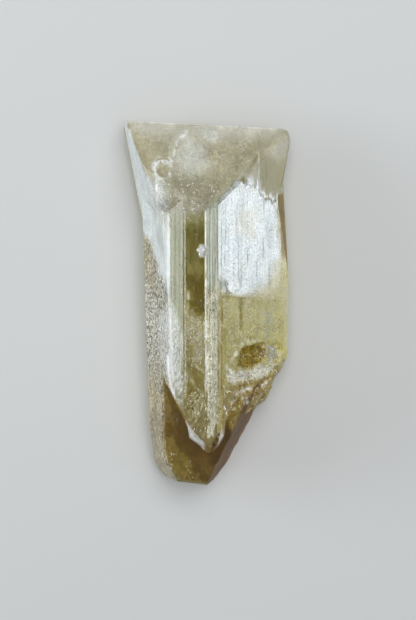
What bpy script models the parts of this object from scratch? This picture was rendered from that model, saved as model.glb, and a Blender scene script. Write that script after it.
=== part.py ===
# A danburite crystal with a chisel head, lying on the flat of its back, grown and modelled as one solid.
# The frame: +X across the crystal, +Y along it towards the head, +Z up from the face that it rests on.
# Every length below is in millimetres, and MM turns it into metres.

import math
import random

import bmesh
import bpy
from mathutils import Matrix, Vector, noise

MM = 0.001
SEED = 11

# Levels above the resting face
WAIST = 5.1
RIDGE = 17.7
FLARE_FOOT = 3.4

# Section of the prism, as (x, z) corners from the left shoulder over the ridge to the right and under
LEFT_SHOULDER = (-6.3, 13.4)
STRIP_EDGE = (-3.8, 15.6)
RIDGE_LEFT = (0.0, 17.4)
RIDGE_CREST = (1.0, RIDGE)
RIDGE_RIGHT = (2.0, 17.0)
RIGHT_SHOULDER = (12.4, 7.1)
BACK_RIGHT = ((14.15, 5.8), (9.6, 0.0))
BACK_LEFT = ((-10.4, WAIST), (-5.9, 0.0))

# The chisel head: its edge, and the point where its front face meets the ridge
CHISEL_LEFT = (-13.25, 30.85, WAIST)
CHISEL_RIGHT = (13.1, 29.55, WAIST)
HEAD_APEX = (0.35, 18.0, RIDGE)
BACK_DOME_FOOT = (0.0, 25.1, 0.0)

# The last growth stands proud of the older prism by these amounts, and the older dome lies this far under it
CAP_LEFT_RISE = 1.6
CAP_WINDOW_RISE = 0.3
CAP_RIDGE_RISE = 0.15
CAP_RIGHT_RISE = 0.22
OLD_DOME_DEPTH = 0.35

# A place inside the crystal, which tells the inner side of every face from its outer one
INSIDE = (0.0, 22.0, 8.0)

# How far cutting bodies stand out of the face that they cut
GROOVE_OUT = 0.1
PIT_OUT = 0.12
SLAB_REACH = 30.0


def across(first, second):
    """Three points of a face that runs straight along the crystal through two corners of its section."""
    return (first[0], 0.0, first[1]), (second[0], 0.0, second[1]), (first[0], 10.0, first[1])


def flat(points, inside=INSIDE):
    """A point of the plane through three points, and its normal pointing away from a place inside."""
    a, b, c = (Vector(point) for point in points)
    normal = (b - a).cross(c - a).normalized()
    if normal.dot(Vector(inside) - a) > 0:
        normal.negate()
    return a, normal


def moved(points, rise):
    """The same face moved along its own normal."""
    _, normal = flat(points)
    return tuple(tuple(Vector(point) + normal * rise) for point in points)


def on_face(points, x, y):
    """The point of a face over the place x, y."""
    corner, normal = flat(points)
    z = corner.z - (normal.x * (x - corner.x) + normal.y * (y - corner.y)) / normal.z
    return Vector((x, y, z))


def aligned(normal):
    """A turn that lays X across a face, Y along the crystal and Z out of the face."""
    along = (Vector((0, 1, 0)) - normal * normal.y).normalized()
    return Matrix((along.cross(normal), along, normal)).transposed()


# Faces of the older prism
WINDOW_FACE = across(STRIP_EDGE, RIDGE_LEFT)
STRIP_FACE = across(LEFT_SHOULDER, STRIP_EDGE)
ETCHED_FACE = ((-10.9, 14.6, WAIST), (-9.8, -10.4, WAIST), (-6.3, 1.8, 13.4))
RIDGE_LEFT_FACE = across(RIDGE_LEFT, RIDGE_CREST)
RIDGE_RIGHT_FACE = across(RIDGE_CREST, RIDGE_RIGHT)
RIGHT_FACE = across(RIDGE_RIGHT, RIGHT_SHOULDER)
LOWER_RIGHT_FACE = ((2.0, 3.3, 17.0), (13.6, 0.6, 5.96), (2.0, -20.0, 16.6))
THIN_RIGHT_FACE = ((12.4, 15.2, 7.1), (13.4, 14.0, 4.8), (14.2, 2.6, 5.4))
BACK_RIGHT_FACE = across(*BACK_RIGHT)
BACK_LEFT_FACE = across(*BACK_LEFT)
REST_FACE = ((0, 0, 0), (1, 0, 0), (0, 1, 0))

# Faces of the head
FRONT_DOME = (CHISEL_LEFT, CHISEL_RIGHT, HEAD_APEX)
BACK_DOME = (CHISEL_LEFT, CHISEL_RIGHT, BACK_DOME_FOOT)
FLARED_FACE = ((-12.45, 21.85, FLARE_FOOT), (-9.9, 23.0, 12.75), (-13.75, 28.65, FLARE_FOOT))
FLARE_UNDERSIDE = ((-12.45, 21.85, FLARE_FOOT), (-13.75, 28.65, FLARE_FOOT), (-9.5, 21.4, 0.0))
HEAD_RIGHT_FLANK = ((14.2, 27.3, FLARE_FOOT), (13.1, 21.1, 4.1), (13.6, 26.1, 6.8))
HEAD_RIGHT_UNDERSIDE = ((14.2, 27.3, FLARE_FOOT), (13.3, 21.1, FLARE_FOOT), (10.6, 24.0, 0.0))
LEFT_CORNER = ((-13.1, 30.9, WAIST), (-13.95, 29.25, 4.4), (-13.2, 29.9, 6.1))
RIGHT_CORNER = ((12.65, 29.57, WAIST), (13.75, 28.85, 5.0), (13.0, 28.9, 6.3))
RIGHT_CORNER_SIDE = ((14.221, 27.43, 3.4), (13.75, 28.85, 5.0), (13.75, 27.9, 6.6))
CAP_END_LEFT = ((-8.15, 14.2, 10.9), (-3.8, 16.9, 16.0), (-6.75, 18.7, 14.3))
CAP_END_RIGHT = ((2.65, 21.3, 16.4), (12.6, 17.2, 7.0), (7.3, 20.9, 12.35))
CAP_END_BACK = ((-12.0, 15.0, 3.0), (12.0, 17.0, 3.0), (0.0, 21.0, 0.0))

# Broken faces of the root end
CLEAVED_SIDE = ((7.5, -18.8, 5.1), (1.2, -30.9, 5.1), (6.05, -16.9, 13.6))
CLEAVED_TOP = ((7.5, -18.7, 5.1), (14.0, -15.2, 5.1), (7.3, -17.6, 13.0))
CLEAVED_ROOM = (14.0, -30.0, 6.0)
ROUGH_SIDE = ((2.2, -18.5, 16.9), (11.7, -10.5, 7.9), (7.5, -17.0, 10.2))
ROUGH_EDGE = ((14.3, -8.2, 5.8), (8.5, -17.9, 5.8), (13.4, -8.2, 9.3))
ROOT_END = ((-6.2, -30.7, 5.1), (0.7, -31.3, 5.1), (-3.0, -30.8, 8.0))
ROOT_LEFT = ((-9.1, -22.3, 5.1), (-8.1, -27.7, 5.1), (-7.9, -22.3, 7.7))
ROOT_CORNER = ((-8.1, -27.7, 5.1), (-6.2, -30.7, 5.1), (-6.9, -27.7, 7.7))
ROOT_UNDERSIDE = ((0.0, -27.5, 0.0), (-6.0, -27.0, 0.0), (0.0, -31.0, 3.2))
ROOT_FLOOR = ((-7.6, -16.2, 9.2), (-6.85, -29.6, 7.65), (4.9, -20.8, 11.6))

# Broken surfaces: half size, cells each way, height of the relief, size of its waves, random start
ROUGH_SIDE_BREAK = (18.0, 16, 0.8, 3.4, 4.0)
ROUGH_EDGE_BREAK = (18.0, 14, 0.4, 3.0, 7.0)
ROOT_FLOOR_BREAK = (22.0, 16, 0.7, 6.0, 9.0)

# The front slab ends in a ledge over the root: the foot of its wall, and the same wall at LEDGE_TOP.
# The room in front of the root runs on round LEDGE_OUTSIDE, from LEDGE_LOW to LEDGE_HIGH.
LEDGE_TOP = 17.0
LEDGE_LOW = -8.0
LEDGE_HIGH = 26.0
LEDGE_OUTSIDE = ((14.5, -11.0), (18.0, -40.0), (-18.0, -40.0), (-16.0, -8.6))
LEDGE_FOOT = (
    (-8.1, -9.6, 9.2), (-6.75, -13.2, 10.2), (-5.3, -15.9, 10.2), (-3.1, -20.5, 10.5),
    (-2.7, -22.3, 10.5), (0.5, -25.0, 10.9), (1.7, -24.4, 11.0), (3.0, -22.1, 11.2),
    (3.4, -19.8, 11.4), (5.1, -15.9, 11.9), (9.4, -12.1, 11.9),
)
LEDGE_BROW = (
    (-7.95, -7.4), (-6.5, -10.75), (-5.0, -14.1), (-2.8, -18.4),
    (-1.5, -20.3), (0.85, -22.7), (1.7, -22.0), (2.7, -20.45),
    (2.85, -18.2), (4.3, -14.8), (9.4, -10.0),
)

# Grooves along the crystal: face, place across, from y, to y, width, depth
STRIATIONS = (
    (RIDGE_LEFT_FACE, 0.05, 17.2, -16.5, 0.42, 0.24),
    (RIDGE_LEFT_FACE, 0.60, 17.4, -9.0, 0.32, 0.17),
    (RIDGE_RIGHT_FACE, 1.22, 17.9, -12.0, 0.32, 0.17),
    (RIDGE_RIGHT_FACE, 1.74, 17.6, -7.5, 0.30, 0.17),
    (RIGHT_FACE, 2.35, -0.6, -14.2, 0.55, 0.42),
    (STRIP_FACE, -3.85, 15.0, -14.0, 0.46, 0.28),
    (STRIP_FACE, -4.60, 13.5, -12.5, 0.32, 0.14),
    (STRIP_FACE, -5.30, 12.5, -12.8, 0.36, 0.16),
    (RIGHT_FACE, 8.80, 17.0, 6.0, 0.22, 0.10),
    (RIGHT_FACE, 4.90, 16.0, 4.5, 0.20, 0.09),
    (RIGHT_FACE, 6.60, 14.0, 5.0, 0.20, 0.09),
    (RIGHT_FACE, 10.7, 12.0, 4.6, 0.20, 0.09),
)

# Pits on the etched left face stand in rows that rise from the waist and run back along the crystal
ETCHED_ROWS = 5
ETCHED_STEPS = 24
ETCHED_START = (12.0, 6.6)
ETCHED_PITCH = (1.45, 1.3)
ETCHED_JITTER = 0.3
ETCHED_RADIUS = (0.30, 0.52)
ETCHED_LIMIT = 12.6

# Pits on other faces: face, from x, to x, from y, to y, pitch
PIT_FIELDS = (
    (RIGHT_FACE, 5.6, 10.2, 15.2, 5.0, 1.25),
    (WINDOW_FACE, -2.9, -0.7, -12.4, -15.6, 0.85),
)
PIT_RADIUS = (0.2, 0.34)
PIT_SKIPPED = 0.35

# Chips taken out: face, x, y, rise of the middle, size across, along and out, lumpiness, random start, detail
CHIPS = (
    (RIGHT_FACE, 7.7, -8.3, 1.2, (3.7, 2.4, 2.3), 0.3, 3.0, 3),
    (FRONT_DOME, -6.9, 23.3, 0.35, (1.6, 1.9, 0.95), 0.45, 8.0, 3),
    (WINDOW_FACE, -1.7, -17.6, 0.3, (1.1, 1.2, 0.9), 0.5, 5.0, 2),
    (RIGHT_FACE, 5.2, -11.6, 0.225, (0.9, 0.72, 0.54), 0.4, 5.2, 2),
    (RIGHT_FACE, 9.9, -10.6, 0.275, (1.1, 0.88, 0.66), 0.4, 9.9, 2),
    (RIGHT_FACE, 11.3, -8.8, 0.225, (0.9, 0.72, 0.54), 0.4, 11.3, 2),
    (RIGHT_FACE, 12.6, -7.6, 0.15, (0.6, 0.48, 0.36), 0.4, 12.6, 2),
)

# Chips along the rim of the resting face: x, y, size
REST_CHIPS = (
    (-6.1, 13.6, 0.9), (-6.2, -3.2, 0.7), (-6.0, -17.1, 1.0), (9.8, 11.2, 0.8), (9.7, -7.3, 1.0),
)

# Lumps that stand on a face, given as the chips are: the glassy knob, and four round the pit on the head
LUMPS = (
    (WINDOW_FACE, -0.65, 10.6, -0.1, (0.85, 1.05, 0.7), 0.3, 2.0, 3),
    (FRONT_DOME, -8.4, 24.2, 0.0, (0.55, 0.66, 0.385), 0.35, -8.4, 2),
    (FRONT_DOME, -6.6, 25.6, 0.0, (0.50, 0.60, 0.350), 0.35, -6.6, 2),
    (FRONT_DOME, -5.1, 24.6, 0.0, (0.55, 0.66, 0.385), 0.35, -5.1, 2),
    (FRONT_DOME, -5.4, 22.0, 0.0, (0.60, 0.72, 0.420), 0.35, -5.4, 2),
)

# Thin growth plates on the hidden back faces: face, rise, top y, bottom y, high z, low z
LEFT_PLATE = (BACK_LEFT_FACE, 0.35, 9.0, -13.0, 4.1, 1.2)
RIGHT_PLATE = (BACK_RIGHT_FACE, 0.4, 4.0, -6.0, 4.6, 1.0)
PLATE_DEPTH = 3.0
PLATE_SLANT = 1.4
PLATE_LEAN = 6.0


def link(name, bm):
    """An object from a bmesh in millimetres, in the scene and in metres."""
    bmesh.ops.recalc_face_normals(bm, faces=bm.faces)
    bmesh.ops.scale(bm, vec=(MM, MM, MM), verts=bm.verts)
    mesh = bpy.data.meshes.new(name)
    bm.to_mesh(mesh)
    bm.free()
    part = bpy.data.objects.new(name, mesh)
    bpy.context.scene.collection.objects.link(part)
    return part


def block(name, faces, inside=INSIDE, size=120.0):
    """A convex block: a cube cut back to every face in turn, each cut capped."""
    bm = bmesh.new()
    bmesh.ops.create_cube(bm, size=size)
    for face in faces:
        corner, normal = flat(face, inside)
        everything = bm.verts[:] + bm.edges[:] + bm.faces[:]
        bmesh.ops.bisect_plane(
            bm, geom=everything, dist=1e-6, plane_co=corner, plane_no=normal, clear_outer=True
        )
        rim = [edge for edge in bm.edges if edge.is_boundary]
        if rim:
            bmesh.ops.contextual_create(bm, geom=rim)
    return link(name, bm)


def combine(target, tool, operation):
    """Joins, cuts or intersects the target with a tool, and removes the tool."""
    step = target.modifiers.new(tool.name, "BOOLEAN")
    step.operation = operation
    step.solver = "EXACT"
    step.use_self = True
    step.object = tool
    depsgraph = bpy.context.evaluated_depsgraph_get()
    mesh = bpy.data.meshes.new_from_object(target.evaluated_get(depsgraph))
    target.modifiers.clear()
    target.data = mesh
    bpy.data.objects.remove(tool)


def broken_slab(name, face, surface):
    """A slab that lies outside a face and has a broken, wavy side where it touches it."""
    size, cells, relief, grain, start = surface
    _, normal = flat(face)
    centre = sum((Vector(point) for point in face), Vector()) / 3
    bm = bmesh.new()
    bmesh.ops.create_grid(bm, x_segments=cells, y_segments=cells, size=size)
    for vert in bm.verts:
        place = vert.co / grain + Vector((start, 0, 0))
        vert.co.z = relief * (noise.fractal(place, 1.0, 2.0, 3) + 0.6 * abs(noise.noise(place * 0.6)))
    grown = bmesh.ops.extrude_face_region(bm, geom=bm.faces[:])
    for item in grown["geom"]:
        if isinstance(item, bmesh.types.BMVert):
            item.co.z = SLAB_REACH
    turn = aligned(normal).to_4x4()
    bmesh.ops.transform(bm, matrix=Matrix.Translation(centre) @ turn, verts=bm.verts)
    return link(name, bm)


def ledge_prism():
    """The room in front of the root: an outline that follows the slab's ledge, widening downwards."""
    loops = []
    bm = bmesh.new()
    for level in (LEDGE_LOW, LEDGE_HIGH):
        loop = []
        for foot, brow in zip(LEDGE_FOOT, LEDGE_BROW):
            share = (level - foot[2]) / (LEDGE_TOP - foot[2])
            loop.append(bm.verts.new((
                foot[0] + (brow[0] - foot[0]) * share,
                foot[1] + (brow[1] - foot[1]) * share,
                level,
            )))
        loop += [bm.verts.new((x, y, level)) for x, y in LEDGE_OUTSIDE]
        loops.append(loop)
    for loop in loops:
        bm.faces.new(loop)
    count = len(loops[0])
    for k in range(count):
        after = (k + 1) % count
        bm.faces.new((loops[0][k], loops[0][after], loops[1][after], loops[1][k]))
    bmesh.ops.triangulate(bm, faces=bm.faces)
    return link("ledge room", bm)


def add_stone(bm, centre, normal, size, lumpiness, start, detail=2):
    """A lumpy closed body, for chips and lumps: its size is across a face, along it and out of it."""
    made = bmesh.ops.create_icosphere(bm, subdivisions=detail, radius=1.0)
    turn = aligned(normal)
    for vert in made["verts"]:
        vert.co *= 1.0 + lumpiness * noise.noise(vert.co * 1.7 + Vector((start, 0, 0)))
        vert.co = turn @ Vector((vert.co.x * size[0], vert.co.y * size[1], vert.co.z * size[2]))
        vert.co += Vector(centre)


def add_groove(bm, start, end, normal, width, depth):
    """A long three-sided bar whose sharp edge digs a groove into a face."""
    start, end = Vector(start), Vector(end)
    side = (end - start).cross(normal).normalized() * (width / 2)
    spread = (depth + GROOVE_OUT) / depth
    rings = []
    for place in (start, end):
        above = place + normal * GROOVE_OUT
        rings.append([
            bm.verts.new(above + side * spread),
            bm.verts.new(above - side * spread),
            bm.verts.new(place - normal * depth),
        ])
    bm.faces.new(rings[0])
    bm.faces.new(rings[1])
    for k in range(3):
        after = (k + 1) % 3
        bm.faces.new((rings[0][k], rings[0][after], rings[1][after], rings[1][k]))


def add_pit(bm, place, normal, radius, depth, stretch, sides=5):
    """A small pointed pit, drawn out along the crystal."""
    made = bmesh.ops.create_cone(
        bm, cap_ends=True, segments=sides, radius1=radius, radius2=0.0, depth=depth + PIT_OUT
    )
    turn = aligned(normal)
    middle = place + normal * (PIT_OUT - (depth + PIT_OUT) / 2)
    for vert in made["verts"]:
        vert.co = turn @ Vector((vert.co.x, vert.co.y * stretch, -vert.co.z)) + middle


def prism():
    """The older crystal: the whole prism, its dome faces just under those of the cap, and its cut root."""
    return block("danburite_crystal", (
        REST_FACE, BACK_LEFT_FACE, BACK_RIGHT_FACE, ETCHED_FACE, STRIP_FACE, WINDOW_FACE,
        RIDGE_LEFT_FACE, RIDGE_RIGHT_FACE, RIGHT_FACE, LOWER_RIGHT_FACE, THIN_RIGHT_FACE,
        moved(FRONT_DOME, -OLD_DOME_DEPTH), moved(BACK_DOME, -OLD_DOME_DEPTH),
        ROOT_END, ROOT_LEFT, ROOT_CORNER, ROOT_UNDERSIDE,
    ))


def cap():
    """The last growth round the head, flared on the left and low on the right."""
    return block("head cap", (
        moved(REST_FACE, -OLD_DOME_DEPTH), FRONT_DOME, BACK_DOME, FLARED_FACE, FLARE_UNDERSIDE,
        HEAD_RIGHT_FLANK, HEAD_RIGHT_UNDERSIDE, LEFT_CORNER, RIGHT_CORNER, RIGHT_CORNER_SIDE,
        moved(STRIP_FACE, CAP_LEFT_RISE), moved(WINDOW_FACE, CAP_WINDOW_RISE),
        moved(RIDGE_LEFT_FACE, CAP_RIDGE_RISE), moved(RIDGE_RIGHT_FACE, CAP_RIDGE_RISE),
        moved(RIGHT_FACE, CAP_RIGHT_RISE), CAP_END_LEFT, CAP_END_RIGHT, CAP_END_BACK,
    ))


def striations():
    """Grooves along the crystal, on the ridge strip, beside the window and on the right face."""
    bm = bmesh.new()
    for face, x, top, bottom, width, depth in STRIATIONS:
        _, normal = flat(face)
        add_groove(bm, on_face(face, x, top), on_face(face, x, bottom), normal, width, depth)
    return link("striations", bm)


def etch_pits():
    """Rows of small pits on the etched left face, on the right face and under the window."""
    rng = random.Random(SEED)
    bm = bmesh.new()
    corner, normal = flat(ETCHED_FACE)
    for row in range(ETCHED_ROWS):
        for step in range(ETCHED_STEPS):
            y = ETCHED_START[0] - ETCHED_PITCH[0] * step + rng.uniform(-ETCHED_JITTER, ETCHED_JITTER)
            z = ETCHED_START[1] + ETCHED_PITCH[1] * row + rng.uniform(-ETCHED_JITTER, ETCHED_JITTER)
            limit = ETCHED_LIMIT - max(0.0, (y - 1.0) * 0.42) - max(0.0, (-9.0 - y) * 0.6)
            if z > limit or rng.random() < 0.2:
                continue
            x = corner.x - (normal.y * (y - corner.y) + normal.z * (z - corner.z)) / normal.x
            radius = rng.uniform(*ETCHED_RADIUS)
            add_pit(bm, Vector((x, y, z)), normal, radius, radius * 0.55, rng.uniform(1.0, 1.3))
    for face, left, right, top, bottom, pitch in PIT_FIELDS:
        _, normal = flat(face)
        for column in range(int((right - left) / pitch) + 1):
            for step in range(int((top - bottom) / pitch) + 1):
                x = left + pitch * column + rng.uniform(-0.2, 0.2) * pitch
                y = top - pitch * step + rng.uniform(-0.2, 0.2) * pitch
                radius = rng.uniform(*PIT_RADIUS) * pitch
                if rng.random() < PIT_SKIPPED:
                    continue
                add_pit(bm, on_face(face, x, y), normal, radius, radius * 0.5, rng.uniform(1.0, 1.4))
    return link("etch pits", bm)


def stones(name, plan):
    """Every lumpy body of a plan, in one mesh."""
    bm = bmesh.new()
    for face, x, y, rise, size, lumpiness, start, detail in plan:
        _, normal = flat(face)
        add_stone(bm, on_face(face, x, y) + normal * rise, normal, size, lumpiness, start, detail)
    return link(name, bm)


def rest_chips():
    """Small breaks along the rim of the resting face."""
    bm = bmesh.new()
    up = Vector((0, 0, 1))
    for x, y, size in REST_CHIPS:
        add_stone(bm, (x, y, -0.1), up, (size, size * 1.3, size * 0.8), 0.4, y)
    return link("rest chips", bm)


def back_plate(name, plate):
    """A last thin growth layer on a hidden back face, with slanting ends."""
    face, rise, top, bottom, high, low = plate
    foot = Vector(face[0])
    middle = (foot.x * 0.8, (top + bottom) / 2, (high + low) / 2)
    return block(name, (
        moved(face, rise), moved(face, -PLATE_DEPTH),
        ((foot.x, top, high), (foot.x, top + PLATE_SLANT, low), (0.0, top - PLATE_LEAN, high)),
        ((foot.x, bottom, high), (foot.x, bottom - PLATE_SLANT, low), (0.0, bottom + PLATE_LEAN, high)),
        ((0.0, 0.0, low), (10.0, 0.0, low), (0.0, 10.0, low)),
        ((0.0, 0.0, high), (10.0, 0.0, high), (0.0, 10.0, high)),
    ), inside=middle)


def danburite():
    """The clear yellow-brown mineral."""
    material = bpy.data.materials.new("danburite")
    material.use_nodes = True
    shader = material.node_tree.nodes["Principled BSDF"]
    shader.inputs["Base Color"].default_value = (0.62, 0.56, 0.34, 1.0)
    shader.inputs["Metallic"].default_value = 0.0
    shader.inputs["Roughness"].default_value = 0.15
    shader.inputs["IOR"].default_value = 1.63
    shader.inputs["Transmission Weight"].default_value = 0.7
    return material


def settle(crystal):
    """Centres the crystal's box on the origin and rests it on the ground."""
    mesh = crystal.data
    corners = [vert.co for vert in mesh.vertices]
    low = Vector([min(co[axis] for co in corners) for axis in range(3)])
    high = Vector([max(co[axis] for co in corners) for axis in range(3)])
    middle = (low + high) / 2
    mesh.transform(Matrix.Translation((-middle.x, -middle.y, -low.z)))


def main():
    for old in list(bpy.data.objects):
        bpy.data.objects.remove(old)
    crystal = prism()
    combine(crystal, cap(), "UNION")
    combine(crystal, back_plate("left back plate", LEFT_PLATE), "UNION")
    combine(crystal, back_plate("right back plate", RIGHT_PLATE), "UNION")
    combine(crystal, block("cleavage", (CLEAVED_SIDE, CLEAVED_TOP), CLEAVED_ROOM), "DIFFERENCE")
    combine(crystal, broken_slab("rough side", ROUGH_SIDE, ROUGH_SIDE_BREAK), "DIFFERENCE")
    combine(crystal, broken_slab("rough edge", ROUGH_EDGE, ROUGH_EDGE_BREAK), "DIFFERENCE")
    room = broken_slab("root floor", ROOT_FLOOR, ROOT_FLOOR_BREAK)
    combine(room, ledge_prism(), "INTERSECT")
    combine(crystal, room, "DIFFERENCE")
    combine(crystal, stones("lumps", LUMPS), "UNION")
    combine(crystal, stones("chips", CHIPS), "DIFFERENCE")
    combine(crystal, rest_chips(), "DIFFERENCE")
    combine(crystal, striations(), "DIFFERENCE")
    combine(crystal, etch_pits(), "DIFFERENCE")
    crystal.data.materials.clear()
    crystal.data.materials.append(danburite())
    settle(crystal)


main()
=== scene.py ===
import math

import bmesh
import bpy
import numpy as np
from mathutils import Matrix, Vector
from mathutils.geometry import tessellate_polygon


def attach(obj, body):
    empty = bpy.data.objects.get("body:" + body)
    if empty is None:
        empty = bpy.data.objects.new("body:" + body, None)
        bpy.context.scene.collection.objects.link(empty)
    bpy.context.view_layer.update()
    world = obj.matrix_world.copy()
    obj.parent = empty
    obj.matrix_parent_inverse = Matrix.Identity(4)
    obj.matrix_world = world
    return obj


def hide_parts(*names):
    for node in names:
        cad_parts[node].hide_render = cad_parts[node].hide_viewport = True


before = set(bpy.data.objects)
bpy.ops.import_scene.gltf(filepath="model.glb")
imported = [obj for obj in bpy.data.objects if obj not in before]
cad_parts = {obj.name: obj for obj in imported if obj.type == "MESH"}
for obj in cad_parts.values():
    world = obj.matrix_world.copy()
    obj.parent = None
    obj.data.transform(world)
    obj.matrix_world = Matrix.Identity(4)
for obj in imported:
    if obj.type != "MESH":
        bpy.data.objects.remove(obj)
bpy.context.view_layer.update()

# The crystal is laid out in millimetres: x across it, y along it to the chisel head, z up from the face it rests on.
# layoutShift then moves it onto the frame's origin, under the middle of its box.
millimetre = 0.001
layoutShift = np.array([-0.185, 0.31, 0.0])
insideHead = (0.0, 22.0, 8.0)


# Helpers for numbers

def smooth(value, low, high):
    # 0 below low, 1 above high and a soft s-shaped rise between them; low may be the larger one
    share = np.clip((value - low) / (high - low), 0.0, 1.0)
    return share * share * (3.0 - 2.0 * share)


def chance(cells, seed):
    # a repeatable random number from 0 to 1 for each whole-number place, mixed from its three numbers
    mixed = cells[..., 0] * 73856093 ^ cells[..., 1] * 19349663 ^ cells[..., 2] * 83492791 ^ (seed + 1) * 26544357
    mixed = (mixed ^ (mixed >> 13)) * 1274126177 & 0x7FFFFFFF
    mixed = (mixed ^ (mixed >> 15)) * 2246822519 & 0x7FFFFFFF
    return ((mixed ^ (mixed >> 13)) & 0xFFFFF) / 0xFFFFF


def noise(points, seed):
    # from -1 to 1: random values at the corners of unit cells, blended across each cell by smooth weights
    base = np.floor(points).astype(np.int64)
    part = points - base
    part = part * part * (3.0 - 2.0 * part)
    total = np.zeros(points.shape[:-1])
    for corner in range(8):
        step = np.array([corner & 1, corner >> 1 & 1, corner >> 2 & 1])
        weight = np.prod(np.where(step, part, 1.0 - part), axis=-1)
        total += weight * chance(base + step, seed)
    return 2.0 * total - 1.0


def layers(points, seed, octaves=3):
    # noise summed over ever finer cells, each octave half as strong as the one before
    total = np.zeros(points.shape[:-1])
    for octave in range(octaves):
        total += noise(points * 2.0 ** octave, seed + octave) * 0.5 ** octave
    return total


def nearestCell(points, seed):
    # distance to the nearest and to the second nearest of jittered seeds, one per unit cell, and the nearest one's
    # own random number and offset; only the cells round each point are searched
    base = np.floor(points).astype(np.int64)
    first = np.full(points.shape[:-1], 9.0)
    second = np.full(points.shape[:-1], 9.0)
    own = np.zeros(points.shape[:-1])
    offset = np.zeros(points.shape)
    for corner in range(27):
        cell = base + np.array([corner % 3 - 1, corner // 3 % 3 - 1, corner // 9 - 1])
        seeds = cell + 0.1 + 0.8 * np.stack([chance(cell, seed + axis) for axis in range(3)], axis=-1)
        away = points - seeds
        reach = np.sqrt((away ** 2).sum(axis=-1))
        closer = reach < first
        second = np.where(closer, first, np.minimum(second, reach))
        first = np.where(closer, reach, first)
        own = np.where(closer, chance(cell, seed + 7), own)
        offset = np.where(closer[..., None], away, offset)
    return first, second, own, offset


def curve(places, values, at):
    # a smooth curve through (place, value) pairs, read at any places: a cubic with the mean of the slopes at each pair
    places, values = np.asarray(places, float), np.asarray(values, float)
    slopes = np.gradient(values, places)
    index = np.clip(np.searchsorted(places, at) - 1, 0, len(places) - 2)
    width = places[index + 1] - places[index]
    t = np.clip((at - places[index]) / width, 0.0, 1.0)
    rise = (1 + 2 * t) * (1 - t) ** 2 * values[index] + t * t * (3 - 2 * t) * values[index + 1]
    return rise + width * (t * (1 - t) ** 2 * slopes[index] + t * t * (t - 1) * slopes[index + 1])


# Helpers for planes and bodies

def straight(first, second):
    # three points of a face that runs straight along the crystal through two (x, z) corners of its section
    return (first[0], 0.0, first[1]), (second[0], 0.0, second[1]), (first[0], 10.0, first[1])


def plane(points, inside=insideHead):
    # unit normal away from the inside, and the plane's distance along it
    a, b, c = (np.array(point, float) for point in points)
    normal = np.cross(b - a, c - a)
    normal /= np.linalg.norm(normal)
    if normal @ (np.array(inside) - a) > 0:
        normal = -normal
    return normal, normal @ a


def raised(points, rise):
    # the same face moved out along its own normal
    normal, _ = plane(points)
    return tuple(tuple(np.array(point) + normal * rise) for point in points)


def onPlane(points, x, y):
    # the point of a face over the place x, y
    normal, reach = plane(points)
    return np.array([x, y, (reach - normal[0] * x - normal[1] * y) / normal[2]])


def turned(normal):
    # rows: across a face, along the crystal in it, and out of it
    lengthwise = np.array([0.0, 1.0, 0.0]) - normal * normal[1]
    lengthwise /= np.linalg.norm(lengthwise)
    return np.array([np.cross(lengthwise, normal), lengthwise, normal])


def outlines(faces, inside=insideHead, reach=80.0):
    # the outline of every face of a body given by planes: a large square on each plane, cut back by all the others
    planes = {name: plane(points, inside) for name, points in faces.items()}
    found = {}
    for name, (normal, distance) in planes.items():
        across, lengthwise = np.linalg.svd(normal[None])[2][1:]
        square = [across * a * reach + lengthwise * b * reach for a, b in ((-1, -1), (1, -1), (1, 1), (-1, 1))]
        outline = np.array(square) + normal * distance
        for other, (cutNormal, cutDistance) in planes.items():
            if other == name or len(outline) == 0:
                continue
            height = outline @ cutNormal - cutDistance
            kept = []
            for k in range(len(outline)):
                after = (k + 1) % len(outline)
                if height[k] <= 0:
                    kept.append(outline[k])
                if (height[k] < 0 < height[after]) or (height[after] < 0 < height[k]):
                    share = height[k] / (height[k] - height[after])
                    kept.append(outline[k] + (outline[after] - outline[k]) * share)
            outline = np.array(kept)
        if len(outline) > 2:
            found[name] = outline
    return planes, found


def faceGrid(outline, rings, pitch):
    # a convex outline as a grid: each row lies at one y, from the outline's one side to its other, and u runs across
    outline = np.roll(outline, -int(np.argmin(outline[:, 1])), axis=0)
    top = int(np.argmax(outline[:, 1]))
    sides = (outline[:top + 1], np.concatenate([outline[:1], outline[top:][::-1]]))
    rows = rings[(rings > outline[0, 1] - 1e-7) & (rings < outline[top, 1] + 1e-7)]
    ends = [np.stack([np.interp(rows, side[:, 1], side[:, axis]) for axis in range(3)], axis=-1) for side in sides]
    count = max(1, math.ceil(np.linalg.norm(ends[1] - ends[0], axis=1).max() / pitch))
    u = np.linspace(0.0, 1.0, count + 1)[None, :, None]
    return ends[0][:, None] * (1.0 - u) + ends[1][:, None] * u


def rimDistance(points, outline, normal):
    # how far each point of a face is from the nearest side of its outline
    nearest = np.full(points.shape[:-1], 1e9)
    for start, end in zip(outline, np.roll(outline, -1, axis=0)):
        side = end - start
        if np.linalg.norm(side) < 1e-6:
            continue
        inward = np.cross(normal, side / np.linalg.norm(side))
        nearest = np.minimum(nearest, np.abs((points - start) @ inward))
    return nearest


def gridFaces(rows, columns, first=0):
    # two triangles for every cell of a grid whose points are numbered row by row
    index = np.arange(rows * columns).reshape(rows, columns) + first
    a, b, c, d = index[:-1, :-1], index[:-1, 1:], index[1:, 1:], index[1:, :-1]
    return np.concatenate([np.stack([a, b, c], -1).reshape(-1, 3), np.stack([a, c, d], -1).reshape(-1, 3)])


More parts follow.
